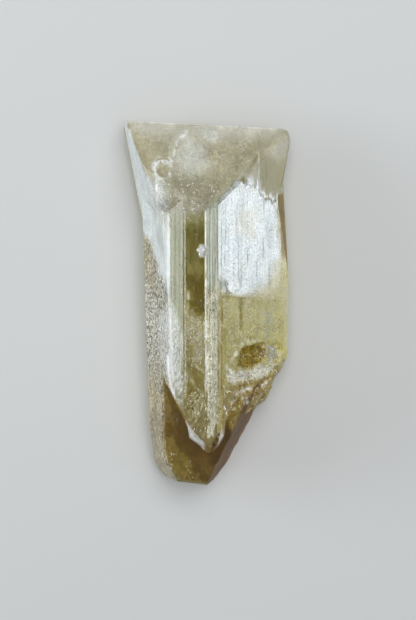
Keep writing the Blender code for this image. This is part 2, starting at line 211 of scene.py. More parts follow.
def body(name, points, triangles):
    # a mesh object from points in millimetres of the layout, welded, closed and facing outwards
    mesh = bpy.data.meshes.new(name)
    mesh.vertices.add(len(points))
    mesh.vertices.foreach_set("co", ((points + layoutShift) * millimetre).astype(np.float32).ravel())
    mesh.loops.add(len(triangles) * 3)
    mesh.loops.foreach_set("vertex_index", triangles.astype(np.int32).ravel())
    mesh.polygons.add(len(triangles))
    mesh.polygons.foreach_set("loop_start", np.arange(len(triangles), dtype=np.int32) * 3)
    mesh.update(calc_edges=True)
    bm = bmesh.new()
    bm.from_mesh(mesh)
    bmesh.ops.remove_doubles(bm, verts=bm.verts, dist=2e-8)
    bmesh.ops.dissolve_degenerate(bm, edges=bm.edges, dist=1e-9)
    bmesh.ops.recalc_face_normals(bm, faces=bm.faces)
    bm.to_mesh(mesh)
    bm.free()
    thing = bpy.data.objects.new(name, mesh)
    bpy.context.scene.collection.objects.link(thing)
    return thing


def places(mesh):
    # the mesh's points in millimetres of the layout
    flat = np.zeros(len(mesh.vertices) * 3, np.float32)
    mesh.vertices.foreach_get("co", flat)
    return flat.reshape(-1, 3).astype(float) / millimetre - layoutShift


def turnedPoints(points, normal, centre):
    # points given across a face, along it and out of it, set on the face at a centre
    return points @ turned(normal) + np.asarray(centre, float)


def closedSheet(name, near, far):
    # a closed body between two grids of the same size: both sheets, and a band along each of their four sides
    rows, columns = near.shape[:2]
    count = rows * columns
    index = np.arange(count).reshape(rows, columns)
    loop = np.concatenate([index[0, :-1], index[:-1, -1], index[-1, :0:-1], index[:0:-1, 0]])
    after = np.roll(loop, -1)
    band = np.concatenate([np.stack([loop, after, after + count], -1), np.stack([loop, after + count, loop + count], -1)])
    triangles = np.concatenate([gridFaces(rows, columns), gridFaces(rows, columns, count)[:, ::-1], band])
    return body(name, np.concatenate([near.reshape(-1, 3), far.reshape(-1, 3)]), triangles)


def combine(target, tool, operation):
    # joins, cuts or intersects two closed bodies, and removes the second
    step = target.modifiers.new(tool.name, "BOOLEAN")
    step.operation = operation
    step.solver = "MANIFOLD"
    step.object = tool
    graph = bpy.context.evaluated_depsgraph_get()
    made = bpy.data.meshes.new_from_object(target.evaluated_get(graph))
    target.modifiers.clear()
    target.data = made
    bpy.data.objects.remove(tool)


# The crystal's faces, as three points on each

crystal = {
    "waist": 5.1,                       # height of the widest part
    "leftShoulder": (-6.3, 13.4),       # section corners, as (x, z)
    "stripEdge": (-3.8, 15.6),
    "ridgeLeft": (0.0, 17.4),
    "ridgeCrest": (1.0, 17.7),
    "ridgeRight": (2.0, 17.0),
    "rightShoulder": (12.4, 7.1),
    "backRight": ((14.15, 5.8), (9.6, 0.0)),
    "backLeft": ((-10.4, 5.1), (-5.9, 0.0)),
    "chiselLeft": (-13.25, 30.85, 5.1),
    "chiselRight": (13.1, 29.55, 5.1),
    "headApex": (0.35, 18.0, 17.7),
    "backDomeFoot": (0.0, 25.1, 0.0),
    "oldDomeDepth": 0.35,               # the older crystal's dome lies this far under the last growth
    "capLeftRise": 1.5,                 # how far the last growth stands proud of the strip,
    "capWindowRise": 0.3,               # of the window,
    "capRidgeRise": 0.15,               # of the ridge
    "capRightRise": 0.22,               # and of the right face
    "ringPitch": 0.30,                  # spacing of the mesh's rings along the crystal
    "frontPitch": 0.16,                 # of its points across a front face
    "backPitch": 0.55,                  # and across a back face
}
axisPlace = (0.5, 7.0)                  # (x, z) of the line that growth steps sink towards
backFaces = ("rest", "backLeft", "backRight", "backDome", "flareUnder", "rightUnder", "endBack", "rootUnder")


def prismFaces():
    c = crystal
    dome = (c["chiselLeft"], c["chiselRight"], c["headApex"])
    backDome = (c["chiselLeft"], c["chiselRight"], c["backDomeFoot"])
    return {
        "rest": ((0, 0, 0), (1, 0, 0), (0, 1, 0)),
        "backLeft": straight(*c["backLeft"]),
        "backRight": straight(*c["backRight"]),
        "etched": ((-10.9, 14.6, 5.1), (-9.8, -10.4, 5.1), (-6.3, 1.8, 13.4)),
        "strip": straight(c["leftShoulder"], c["stripEdge"]),
        "window": straight(c["stripEdge"], c["ridgeLeft"]),
        "ridgeLeft": straight(c["ridgeLeft"], c["ridgeCrest"]),
        "ridgeRight": straight(c["ridgeCrest"], c["ridgeRight"]),
        "right": straight(c["ridgeRight"], c["rightShoulder"]),
        "lowerRight": ((2.0, 3.3, 17.0), (13.6, 0.6, 5.96), (2.0, -20.0, 16.6)),
        "thinRight": ((12.4, 15.2, 7.1), (13.4, 14.0, 4.8), (14.2, 2.6, 5.4)),
        "dome": raised(dome, -c["oldDomeDepth"]),
        "backDome": raised(backDome, -c["oldDomeDepth"]),
        "rootEnd": ((-6.2, -30.7, 5.1), (0.7, -31.3, 5.1), (-3.0, -30.8, 8.0)),
        "rootLeft": ((-9.1, -22.3, 5.1), (-8.1, -27.7, 5.1), (-7.9, -22.3, 7.7)),
        "rootCorner": ((-8.1, -27.7, 5.1), (-6.2, -30.7, 5.1), (-6.9, -27.5, 7.7)),
        "rootUnder": ((0.0, -27.5, 0.0), (-6.0, -27.0, 0.0), (0.0, -31.0, 3.2)),
    }


def capFaces(prism):
    c = crystal
    return {
        "rest": raised(prism["rest"], -c["oldDomeDepth"]),
        "dome": (c["chiselLeft"], c["chiselRight"], c["headApex"]),
        "backDome": (c["chiselLeft"], c["chiselRight"], c["backDomeFoot"]),
        "flared": ((-12.45, 21.85, 3.4), (-9.9, 23.0, 12.75), (-13.75, 28.65, 3.4)),
        "flareUnder": ((-12.45, 21.85, 3.4), (-13.75, 28.65, 3.4), (-9.5, 21.4, 0.0)),
        "rightFlank": ((14.2, 27.3, 3.4), (13.1, 21.1, 4.1), (13.6, 26.1, 6.8)),
        "rightUnder": ((14.2, 27.3, 3.4), (13.3, 21.1, 3.4), (10.6, 24.0, 0.0)),
        "leftCorner": ((-13.1, 30.9, 5.1), (-13.95, 29.25, 4.4), (-13.2, 29.9, 6.1)),
        "rightCorner": ((12.65, 29.57, 5.1), (13.75, 28.85, 5.0), (13.0, 28.9, 6.3)),
        "rightCornerSide": ((14.221, 27.43, 3.4), (13.75, 28.85, 5.0), (13.75, 27.9, 6.6)),
        "strip": raised(prism["strip"], c["capLeftRise"]),
        "window": raised(prism["window"], c["capWindowRise"]),
        "ridgeLeft": raised(prism["ridgeLeft"], c["capRidgeRise"]),
        "ridgeRight": raised(prism["ridgeRight"], c["capRidgeRise"]),
        "right": raised(prism["right"], c["capRightRise"]),
        "endFront": ((-8.0, 9.0, 10.0), (-3.8, 9.5, 16.0), (12.0, 10.5, 7.0)),
        "endBack": ((-12.0, 15.0, 3.0), (12.0, 17.0, 3.0), (0.0, 21.0, 0.0)),
    }


growth = {
    # where the last growth ends on the front, as (x, y) from the left waist round to the right one
    "edge": ((-11.5, 14.0), (-8.0, 16.0), (-5.0, 16.0), (-2.0, 16.4), (0.0, 17.3), (0.8, 17.9), (2.0, 19.2), (3.6, 20.7),
             (5.2, 22.2), (5.9, 22.5), (7.6, 20.8), (8.7, 20.2), (9.9, 18.4), (10.7, 18.4), (12.6, 17.7), (14.2, 17.4)),
    "leftFade": (0.2, 1.0),              # left of this it fades out gently over the next length, right of it as a step
    "leftFadeLength": 7.0,
    # how far its fingers reach along the crystal, as (x, reach)
    "ragged": ((-5.0, 0.0), (-3.0, 0.9), (-0.5, 0.9), (0.5, 0.25), (5.0, 0.25), (7.0, 1.0), (13.0, 1.3)),
    "fingerWidth": 0.42,
    "stepLengths": ((5.0, 0.45), (6.8, 2.2)),   # length over which the step runs down, as (x, length)
    "stepDepths": ((5.0, 0.70), (6.8, 0.42)),   # and how deep
    "rightFade": 0.19,                  # before its end on the right it has already sunk by this
}


def growthEdge(points):
    # how far each point lies past the ragged end of the last growth: its even edge plus fingers of two widths
    g = growth
    even = np.interp(points[..., 0], *np.array(g["edge"]).T)
    spot = np.stack([points[..., 0] / g["fingerWidth"], points[..., 1] / 3.0, points[..., 2] * 0.0], -1)
    wide = noise(spot * np.array([0.4, 0.5, 1.0]), 21)
    fine = noise(spot, 22)
    ragged = np.interp(points[..., 0], *np.array(g["ragged"]).T)
    return even + ragged * (0.6 * wide + 0.4 * fine) - points[..., 1]


def growthSink(points):
    # the cap dips under the older faces past its ragged end, at once on the right and slowly on the left
    g, c = growth, crystal
    past = growthEdge(points)
    left = smooth(points[..., 0], g["leftFade"][1], g["leftFade"][0])
    step = smooth(past / np.interp(points[..., 0], *np.array(g["stepLengths"]).T), 0.0, 1.0)
    slow = smooth(past, -g["leftFadeLength"] * 0.6, g["leftFadeLength"] * 0.4)
    deep = np.interp(points[..., 0], *np.array(g["stepDepths"]).T)
    deep = deep + (c["capLeftRise"] - 0.4) * left * smooth(points[..., 0], -2.5, -4.5)
    deep = deep + left * smooth(points[..., 0], -8.6, -10.4)
    front = smooth(points[..., 2], 4.0, 6.0)
    early = g["rightFade"] * smooth(points[..., 0], 5.6, 7.2) * smooth(past, -5.0, 0.0)
    return (deep * (step * (1.0 - left) + slow * left) + early) * front


# Relief that belongs to single faces

striae = {
    # face: how many grooves, their half width, depth and length, all as (least, most), and the stretch of y they keep to
    "strip": (12, (0.14, 0.34), (0.004, 0.020), (5, 22), (-20, 20)),
    "window": (7, (0.25, 0.50), (0.002, 0.008), (6, 22), (-14, 16)),
    "ridgeLeft": (5, (0.09, 0.15), (0.05, 0.13), (14, 34), (-18, 18)),
    "ridgeRight": (5, (0.09, 0.15), (0.06, 0.14), (12, 30), (-16, 18)),
    "right": (26, (0.10, 0.30), (0.008, 0.03), (3, 14), (3, 25)),
    "lowerRight": (14, (0.10, 0.30), (0.01, 0.03), (2, 12), (-14, 3)),
    "thinRight": (8, (0.12, 0.25), (0.02, 0.05), (5, 18), (-6, 20)),
    "etched": (22, (0.10, 0.30), (0.02, 0.07), (3, 12), (-24, 14)),
    "backLeft": (14, (0.5, 0.9), (0.05, 0.16), (8, 30), (-26, 22)),
    "backRight": (12, (0.5, 0.9), (0.05, 0.16), (8, 30), (-20, 20)),
}


def grooves(face, points, across):
    # bell-shaped dips across the face, each tapering out at both its ends
    if face not in striae:
        return np.zeros(points.shape[:-1])
    number, widths, depths, lengths, stretch = striae[face]
    draw = np.random.default_rng(sum(face.encode()))
    low, high = across.min(), across.max()
    total = np.zeros(points.shape[:-1])
    for _ in range(number):
        place, middle = draw.uniform(low, high), draw.uniform(*stretch)
        width, depth, half = draw.uniform(*widths), draw.uniform(*depths), draw.uniform(*lengths) / 2
        along = np.abs(points[..., 1] - middle)
        inside = smooth(along, half, half * 0.8) * smooth(points[..., 1], stretch[0], stretch[0] + 1.0)
        total = np.maximum(total, depth * inside * np.exp(-((across - place) / width) ** 2))
    return total


carved = (
    # single grooves that stand out: face, ((x, y), (x, y)), half width, depth
    ("lowerRight", ((2.35, 2.5), (2.35, -15.5)), 0.24, 0.30),
    ("lowerRight", ((3.1, -3.0), (3.05, -12.0)), 0.16, 0.10),
    ("lowerRight", ((5.85, 2.2), (5.85, -3.4)), 0.14, 0.12),
    ("capRight", ((8.8, 26.0), (8.8, 19.4)), 0.14, 0.13),
    ("capRight", ((10.1, 25.0), (10.1, 19.6)), 0.12, 0.05),
    ("strip", ((-5.3, 18.0), (-5.3, -14.0)), 0.20, 0.04),
    ("strip", ((-4.6, 17.0), (-4.6, -12.0)), 0.20, 0.02),
    ("strip", ((-6.05, 17.0), (-6.0, -6.0)), 0.14, 0.06),
    ("window", ((-3.65, 17.0), (-3.6, -15.0)), 0.16, 0.08),
    ("window", ((-0.25, 17.0), (-0.25, -20.0)), 0.14, 0.10),
)


def carvedGrooves(face, points):
    total = np.zeros(points.shape[:-1])
    for place, line, width, depth in carved:
        if place == face:
            total = np.maximum(total, depth * np.exp(-(lineDistance(points, line) / width) ** 2))
    return total


headPit = {
    "centre": (-7.05, 23.4),
    "radius": 1.10,                     # of the ring round the pit
    "rim": 0.35,                        # half width of the ring
    "rimRise": 0.36,
    "depth": 0.30,
    "crack": ((-5.4, 25.2), (-4.9, 27.4), (-4.5, 28.2), (-3.5, 28.7), (-2.6, 30.1)),
    "crackWidth": 0.22,
    "crackRise": 0.22,
    # small lumps on the dome: x, y, radius, height
    "lumps": ((-5.6, 25.2, 0.45, 0.25), (-5.1, 26.6, 0.35, 0.2), (-8.6, 24.6, 0.4, 0.2), (4.9, 23.9, 0.4, 0.22),
              (4.0, 21.9, 0.35, 0.2), (-6.3, 21.9, 0.4, 0.18), (6.6, 26.4, 0.3, 0.12), (1.6, 26.2, 0.3, 0.1)),
}


def lineDistance(points, line):
    # distance across the crystal from a line given by (x, y) pairs, and how far along it the nearest point lies
    best = np.full(points.shape[:-1], 1e9)
    for start, end in zip(line[:-1], line[1:]):
        a, b = np.array(start, float), np.array(end, float)
        t = np.clip(((points[..., :2] - a) @ (b - a)) / ((b - a) @ (b - a)), 0.0, 1.0)
        away = points[..., :2] - a - t[..., None] * (b - a)
        best = np.minimum(best, np.sqrt((away ** 2).sum(axis=-1)))
    return best


def domeRelief(points):
    # a low rim round a pit, a ragged raised crack, and gentle waves with a fine grain
    p = headPit
    from_ = np.hypot(points[..., 0] - p["centre"][0], (points[..., 1] - p["centre"][1]) * 0.8)
    bumps = 0.6 + 0.7 * noise(points / 0.45, 31)
    ring = p["rimRise"] * np.exp(-((from_ - p["radius"]) / p["rim"]) ** 2) * bumps
    pit = p["depth"] * smooth(from_, p["radius"] * 0.9, p["radius"] * 0.35)
    crack = p["crackRise"] * np.exp(-(lineDistance(points, p["crack"]) / p["crackWidth"]) ** 2)
    crack = crack * smooth(noise(points / 0.5, 32), -0.3, 0.4)
    waves = 0.05 + 0.05 * layers(points / 3.5, 33) + 0.02 * layers(points / 0.5, 34, 2)
    lumps = np.zeros(points.shape[:-1])
    for x, y, radius, height in p["lumps"]:
        lumps += height * np.exp(-(np.hypot(points[..., 0] - x, points[..., 1] - y) / radius) ** 2)
    return waves + pit - ring - crack - lumps


def grainRelief(points, across):
    # pits close together: deep in the middle of each cell of a jittered pattern, drawn out along the crystal
    spot = np.stack([across / 0.42, points[..., 1] / 0.70, np.zeros_like(across)], -1)
    first, second, own, _ = nearestCell(spot, 41)
    return 0.11 * own * smooth(first, 0.45, 0.1)


crumble = {
    # broken patches on the front faces: centre (x, y), half size across and along, depth, size of its facets
    "hollow rim": ((6.6, -11.2), (4.4, 1.9), 0.50, 0.85),
    "hollow foot": ((7.6, -13.4), (4.0, 1.6), 0.50, 0.75),
    "hollow head": ((7.2, -5.6), (2.6, 0.7), 0.12, 0.6),
    "hollow edge": ((11.6, -8.2), (1.5, 1.8), 0.45, 0.9),
    "window pits": ((-1.8, -14.4), (1.7, 2.6), 0.40, 0.6),
    "window end": ((-1.0, -18.6), (1.8, 1.6), 0.35, 0.8),
    "ridge grain": ((1.6, -4.0), (0.8, 7.5), 0.12, 0.42),
    "ridge fingers": ((1.6, -15.0), (0.9, 4.2), 0.22, 0.5),
    "right knots": ((2.9, 3.2), (1.0, 2.0), 0.14, 0.5),
    "strip foot": ((-4.6, -12.6), (1.2, 2.6), 0.18, 0.5),
}


def crumbleRelief(points):
    # small flat facets at random tilts and heights, longer along the crystal than across, inside soft ragged ovals
    total = np.zeros(points.shape[:-1])
    for number, (centre, half, depth, size) in enumerate(crumble.values()):
        away = np.hypot((points[..., 0] - centre[0]) / half[0], (points[..., 1] - centre[1]) / half[1])
        if away.min() > 1.4:
            continue
        ragged = away + 0.35 * noise(points / 0.8, 60 + number)
        deep = np.zeros(points.shape[:-1])
        for share, part in ((0.65, 1.0), (0.35, 0.5)):
            spot = points / (size * part * np.array([1.0, 1.7, 1.0]))
            _, _, own, offset = nearestCell(spot, 50 + number)
            tilt = offset[..., 0] * np.cos(own * 40.0) + offset[..., 1] * np.sin(own * 40.0)
            deep += share * np.clip(own + 0.9 * tilt, 0.0, 1.6)
        total = np.maximum(total, depth * smooth(ragged, 1.15, 0.65) * deep)
    return total


def faceRelief(face, points, across):
    # everything that is sunk into one face
    depth = np.maximum(grooves(face, points, across), carvedGrooves(face, points))
    if face in ("right", "lowerRight", "window", "ridgeLeft", "ridgeRight", "strip"):
        depth = np.maximum(depth, crumbleRelief(points))
    if face == "etched":
        depth = depth + grainRelief(points, across)
    if face == "strip":
        depth = depth + 0.05 * np.clip(-6.2 - points[..., 0], 0.0, 6.0)
    return depth


headRounding = {
    # how round the last growth's edges are, as (x, radius), and where along y that fades out
    "radii": ((-10.5, 0.02), (-8.8, 0.55), (-5.5, 0.60), (-3.4, 0.30), (-0.6, 0.26), (0.4, 0.02)),
    "fade": (23.0, 25.5),
}

softEdges = (
    # two faces whose shared edge is rounded, and how far the rounding reaches from it
    ("right", "lowerRight", 3.2),
)


def edgeRelief(face, points, planes):
    # near an edge between two faces that meet at a small angle both are sunk along the mean of their normals, by
    # angle / 4 x (reach - distance)^2 / reach, which fades out at their other edges
    moved = np.zeros(points.shape)
    for first, second, reach in softEdges:
        if face not in (first, second):
            continue
        normal, distance = planes[second if face == first else first]
        angle = math.acos(planes[first][0] @ planes[second][0])
        away = np.clip(np.abs(points @ normal - distance) / math.sin(angle), 0.0, reach)
        others = [np.abs(points @ n - d) for name, (n, d) in planes.items() if name not in (first, second)]
        depth = angle / 4 * (reach - away) ** 2 / reach * smooth(np.min(others, axis=0), 0.0, 0.3)
        middle = planes[first][0] + planes[second][0]
        moved -= depth[..., None] * middle / np.linalg.norm(middle)
    return moved


def slowRelief(face, points, across):
    # low waves of growth, twice as long along the crystal as across
    if face in backFaces or face == "dome":
        return np.zeros(points.shape[:-1])
    slow = np.stack([across / 2.6, points[..., 1] / 6.0, np.zeros_like(across)], -1)
    return 0.03 + 0.03 * layers(slow, 44)


def capRelief(face, points, across):
    # the last growth's faces: waves, pit and lumps on the dome, a few grooves on the right face; facedBody adds low
    # waves
    if face == "dome":
        return domeRelief(points)
    depth = carvedGrooves("capRight", points) if face == "right" else np.zeros(points.shape[:-1])
    return depth


def roundedCorner(face, points, planes):
    # each face's distance is added up as an exponential: the logarithm of the sum is how far a rounded body lies
    # inside the sharp one, and the weights give its direction
    radius = np.interp(points[..., 0], *np.array(headRounding["radii"]).T)
    fade = smooth(points[..., 1], headRounding["fade"][1], headRounding["fade"][0])
    normals = np.array([normal for normal, _ in planes.values()])
    height = points @ normals.T - np.array([distance for _, distance in planes.values()])
    weight = np.exp(np.minimum(height, 0.0) / radius[..., None])
    total = weight.sum(axis=-1)
    direction = (weight @ normals) / total[..., None]
    direction /= np.maximum(np.linalg.norm(direction, axis=-1), 0.3)[..., None] ** 2
    return -direction * (radius * np.log(total) * fade * smooth(points[..., 2], 6.0, 9.0))[..., None]


def facedBody(name, faces, capped, inside=insideHead):
    # every face is a grid of its own, with its relief sunk along its normal, and all the grids share their rings
    planes, found = outlines(faces, inside)
    corners = np.concatenate(list(found.values()))[:, 1]
    rings = np.arange(corners.min(), corners.max(), crystal["ringPitch"])
    rings = rings[np.abs(rings[:, None] - corners[None]).min(axis=1) > 0.05]
    rings = np.sort(np.concatenate([rings, corners]))
    rings = rings[np.concatenate([[True], np.diff(rings) > 1e-6])]
    points, triangles, count = [], [], 0
    for face, outline in found.items():
        normal = planes[face][0]
        grid = faceGrid(outline, rings, crystal["backPitch" if face in backFaces else "frontPitch"])
        across = grid @ turned(normal)[0] if abs(normal[1]) < 0.99 else grid[..., 0]
        rim = rimDistance(grid, outline, normal)
        if capped:
            depth = capRelief(face, grid, across)
        else:
            depth = faceRelief(face, grid, across)
        depth = depth * smooth(rim, 0.0, 0.22) + slowRelief(face, grid, across) * smooth(rim, 0.0, 2.0)
        grid = grid - normal * depth[..., None] + (roundedCorner if capped else edgeRelief)(face, grid, planes)
        points.append(grid.reshape(-1, 3))
        triangles.append(gridFaces(grid.shape[0], grid.shape[1], count))
        count += grid.shape[0] * grid.shape[1]
    points = np.concatenate(points)
    if capped:
        away = points[:, [0, 2]] - np.array(axisPlace)
        away /= np.linalg.norm(away, axis=1)[:, None]
        points[:, [0, 2]] -= away * growthSink(points)[:, None]
    return body(name, points, np.concatenate(triangles))


# Broken surfaces and what they cut away

breaks = {
    "cleavedSide": ((7.5, -18.8, 5.1), (1.2, -30.9, 5.1), (6.05, -16.9, 13.6)),
    "cleavedTop": ((7.5, -18.7, 5.1), (14.0, -15.2, 5.1), (7.3, -17.6, 13.0)),
    "roughSide": ((2.2, -18.5, 16.9), (11.7, -10.5, 7.9), (7.5, -17.0, 10.2)),
    "roughEdge": ((14.3, -8.2, 5.8), (8.5, -17.9, 5.8), (13.4, -8.2, 9.3)),
    "rootFloor": ((-7.6, -16.2, 9.2), (-6.85, -29.6, 7.65), (4.9, -20.8, 11.6)),
    "pitch": 0.22,                      # spacing of the points on a broken surface
    "reach": 26.0,                      # how far a cutting body stands out from it
}


def hackle(u, v, size, stretch, height, seed):
    # broken crystal: tilted facets in cells that are longer along the crystal, with fine ribs across each
    spot = np.stack([u / size, v / (size * stretch), np.zeros_like(u)], -1)
    first, second, own, offset = nearestCell(spot, seed)
    tilt = offset[..., 0] * np.cos(own * 40.0) + offset[..., 1] * np.sin(own * 40.0)
    ribs = np.sin(own * 50.0 + first * 16.0) * 0.05
    slow = layers(spot * 0.6, seed + 9, 2)
    return height * (0.5 * own + 0.75 * tilt + 0.45 * slow + ribs)


def ripples(u, v, size, height, seed):
    # smooth shell-like break: slow waves and rings that spread from one side
    spot = np.stack([u / size, v / size, np.zeros_like(u)], -1)
    rings = np.sin(np.hypot(u + 9.0, v - 4.0) * 2.6 + 2.0 * noise(spot, seed + 3)) * 0.05
    return height * (layers(spot, seed, 3) + rings)


def terraces(u, v, height, seed):
    # flat cleavage: low steps that run long and narrow, on a very slow wave
    spot = np.stack([u / 3.0, v / 1.2, np.zeros_like(u)], -1)
    level = 2.2 * layers(spot, seed, 2)
    step = np.floor(level) + smooth(level - np.floor(level), 0.7, 1.0)
    return height * (step + 0.6 * noise(spot / 3.0, seed + 5))


def breakBody(name, face, size, relief):
    # the room outside a broken face: a grid on the face with its relief, and a flat sheet far out
    normal, _ = plane(face)
    centre = np.mean(np.array(face, float), axis=0)
    count = math.ceil(2 * size / breaks["pitch"])
    v, u = np.meshgrid(np.linspace(-size, size, count), np.linspace(-size, size, count), indexing="ij")
    near = turnedPoints(np.stack([u, v, relief(u, v)], -1), normal, centre)
    far = turnedPoints(np.stack([u, v, np.full_like(u, breaks["reach"])], -1), normal, centre)
    return closedSheet(name, near, far)


def cleavageBody():
    # the flat lower right break: the room outside the cleaved side, as far as it also lies outside its top
    room = breakBody("cleavage", breaks["cleavedSide"], 17.0, lambda u, v: terraces(u, v, 0.05, 101))
    top = breakBody("cleavage top", breaks["cleavedTop"], 17.0, lambda u, v: terraces(u, v, 0.08, 105))
    combine(room, top, "INTERSECT")
    return room


ledge = {
    # the foot of the wall in front of the root, (x, y, z), and the same wall higher up, (x, y) at topLevel
    "foot": ((-8.1, -9.6, 9.2), (-6.75, -13.2, 10.2), (-5.3, -15.9, 10.2), (-3.1, -20.5, 10.5),
             (-2.7, -22.3, 10.5), (0.5, -25.0, 10.9), (1.7, -24.4, 11.0), (3.0, -22.1, 11.2),
             (3.4, -19.8, 11.4), (5.1, -15.9, 11.9), (9.4, -12.1, 11.9)),
    "brow": ((-7.95, -7.4), (-6.5, -10.75), (-5.0, -14.1), (-2.8, -18.4), (-1.5, -20.3), (0.85, -22.7),
             (1.7, -22.0), (2.7, -20.45), (2.85, -18.2), (4.3, -14.8), (9.4, -10.0)),
    "topLevel": 17.0,
    "outside": ((14.5, -11.0), (18.0, -40.0), (-18.0, -40.0), (-16.0, -8.6)),
    "low": -8.0,
    "high": 26.0,
    "pitch": 0.3,
    "steps": 90,                        # points up the wall
    "wave": 0.16,                       # depth of the wall's own unevenness
}


def ledgeRoom():
    # a ruled wall: each point of the foot line joined to its point of the brow line, and carried on both ways
    w = ledge
    foot, brow = np.array(w["foot"]), np.array(w["brow"])
    along = np.concatenate([[0.0], np.cumsum(np.linalg.norm(np.diff(foot[:, :2], axis=0), axis=1))])
    at = np.unique(np.concatenate([np.arange(0.0, along[-1], w["pitch"]), along]))
    foot = np.stack([np.interp(at, along, foot[:, axis]) for axis in range(3)], -1)
    brow = np.stack([np.interp(at, along, brow[:, axis]) for axis in range(2)], -1)
    outside = np.array(w["outside"])
    level = np.linspace(w["low"], w["high"], w["steps"])[:, None]
    share = (level - foot[None, :, 2]) / (w["topLevel"] - foot[None, :, 2])
    wall = foot[None, :, :2] + (brow - foot[:, :2])[None] * share[..., None]
    spot = np.stack([wall[..., 0], wall[..., 1], np.broadcast_to(level, wall.shape[:2])], -1)
    inward = np.array([0.35, 1.0])
    wall = wall + inward * (w["wave"] * layers(spot / 1.6, 71))[..., None]
    rest = np.broadcast_to(outside, (len(level),) + outside.shape)
    ring = np.concatenate([wall, rest], axis=1)
    points = np.concatenate([ring, np.broadcast_to(level[..., None], ring.shape[:2] + (1,))], -1)
    rows, columns = points.shape[:2]
    index = np.arange(rows * columns).reshape(rows, columns)
    after = np.roll(index, -1, axis=1)
    a, b, c, d = index[:-1], after[:-1], after[1:], index[1:]
    sides = np.concatenate([np.stack([a, b, c], -1).reshape(-1, 3), np.stack([a, c, d], -1).reshape(-1, 3)])
    ends = []
    for row, turn in ((0, -1), (rows - 1, 1)):
        flat = [tuple(point) for point in points[row]]
        ends.append(np.array(tessellate_polygon([flat])) + row * columns)
    return body("ledge room", points.reshape(-1, 3), np.concatenate([sides] + ends))


def stoneBody(name, centre, normal, size, lumps, seed, count=48):
    # a lumpy egg from two angles: its radius waves with a noise read on the unit ball
    polar, round_ = np.meshgrid(np.linspace(0.0, math.pi, count), np.linspace(0.0, 2 * math.pi, 2 * count), indexing="ij")
    ball = np.stack([np.sin(polar) * np.cos(round_), np.sin(polar) * np.sin(round_), np.cos(polar)], -1)
    radius = 1.0 + lumps * layers(ball * 1.6, seed, 3)
    points = turnedPoints(ball * radius[..., None] * np.array(size), normal, centre)
    return body(name, points.reshape(-1, 3), gridFaces(*points.shape[:2]))


prism = prismFaces()
cap = capFaces(prism)


def makeCrystal():
    stone = facedBody("danburite", prism, False)
    print("older prism:", len(stone.data.polygons), "triangles")
    head = facedBody("last growth", cap, True)
    print("last growth:", len(head.data.polygons))
    combine(stone, head, "UNION")
    print("joined:", len(stone.data.polygons))
    combine(stone, cleavageBody(), "DIFFERENCE")
    combine(stone, breakBody("rough side", breaks["roughSide"], 14.0,
                             lambda u, v: hackle(u, v, 1.7, 2.6, 0.75, 81)), "DIFFERENCE")
    combine(stone, breakBody("rough edge", breaks["roughEdge"], 13.0,
                             lambda u, v: hackle(u, v, 1.5, 1.3, 0.4, 91)), "DIFFERENCE")
    room = ledgeRoom()
    floor = breakBody("root floor", breaks["rootFloor"], 20.0, lambda u, v: ripples(u, v, 4.5, 0.45, 95))
    combine(room, floor, "INTERSECT")
    combine(stone, room, "DIFFERENCE")
    print("broken:", len(stone.data.polygons))
    right, _ = plane(prism["right"])
    window, _ = plane(prism["window"])
    knob = stoneBody("knob", onPlane(prism["window"], -0.65, 10.6) - window * 0.1, window, (0.85, 1.05, 0.6), 0.3, 3, 24)
    combine(stone, knob, "UNION")
    hollow = onPlane(prism["right"], 7.7, -8.2) + right * 1.3
    combine(stone, stoneBody("hollow", hollow, right, (4.3, 2.8, 2.6), 0.16, 5), "DIFFERENCE")
    print("crystal:", len(stone.data.polygons), "triangles")
    return stone


stone = makeCrystal()

# Finishes of the surface: what light does there and what pattern breaks it up

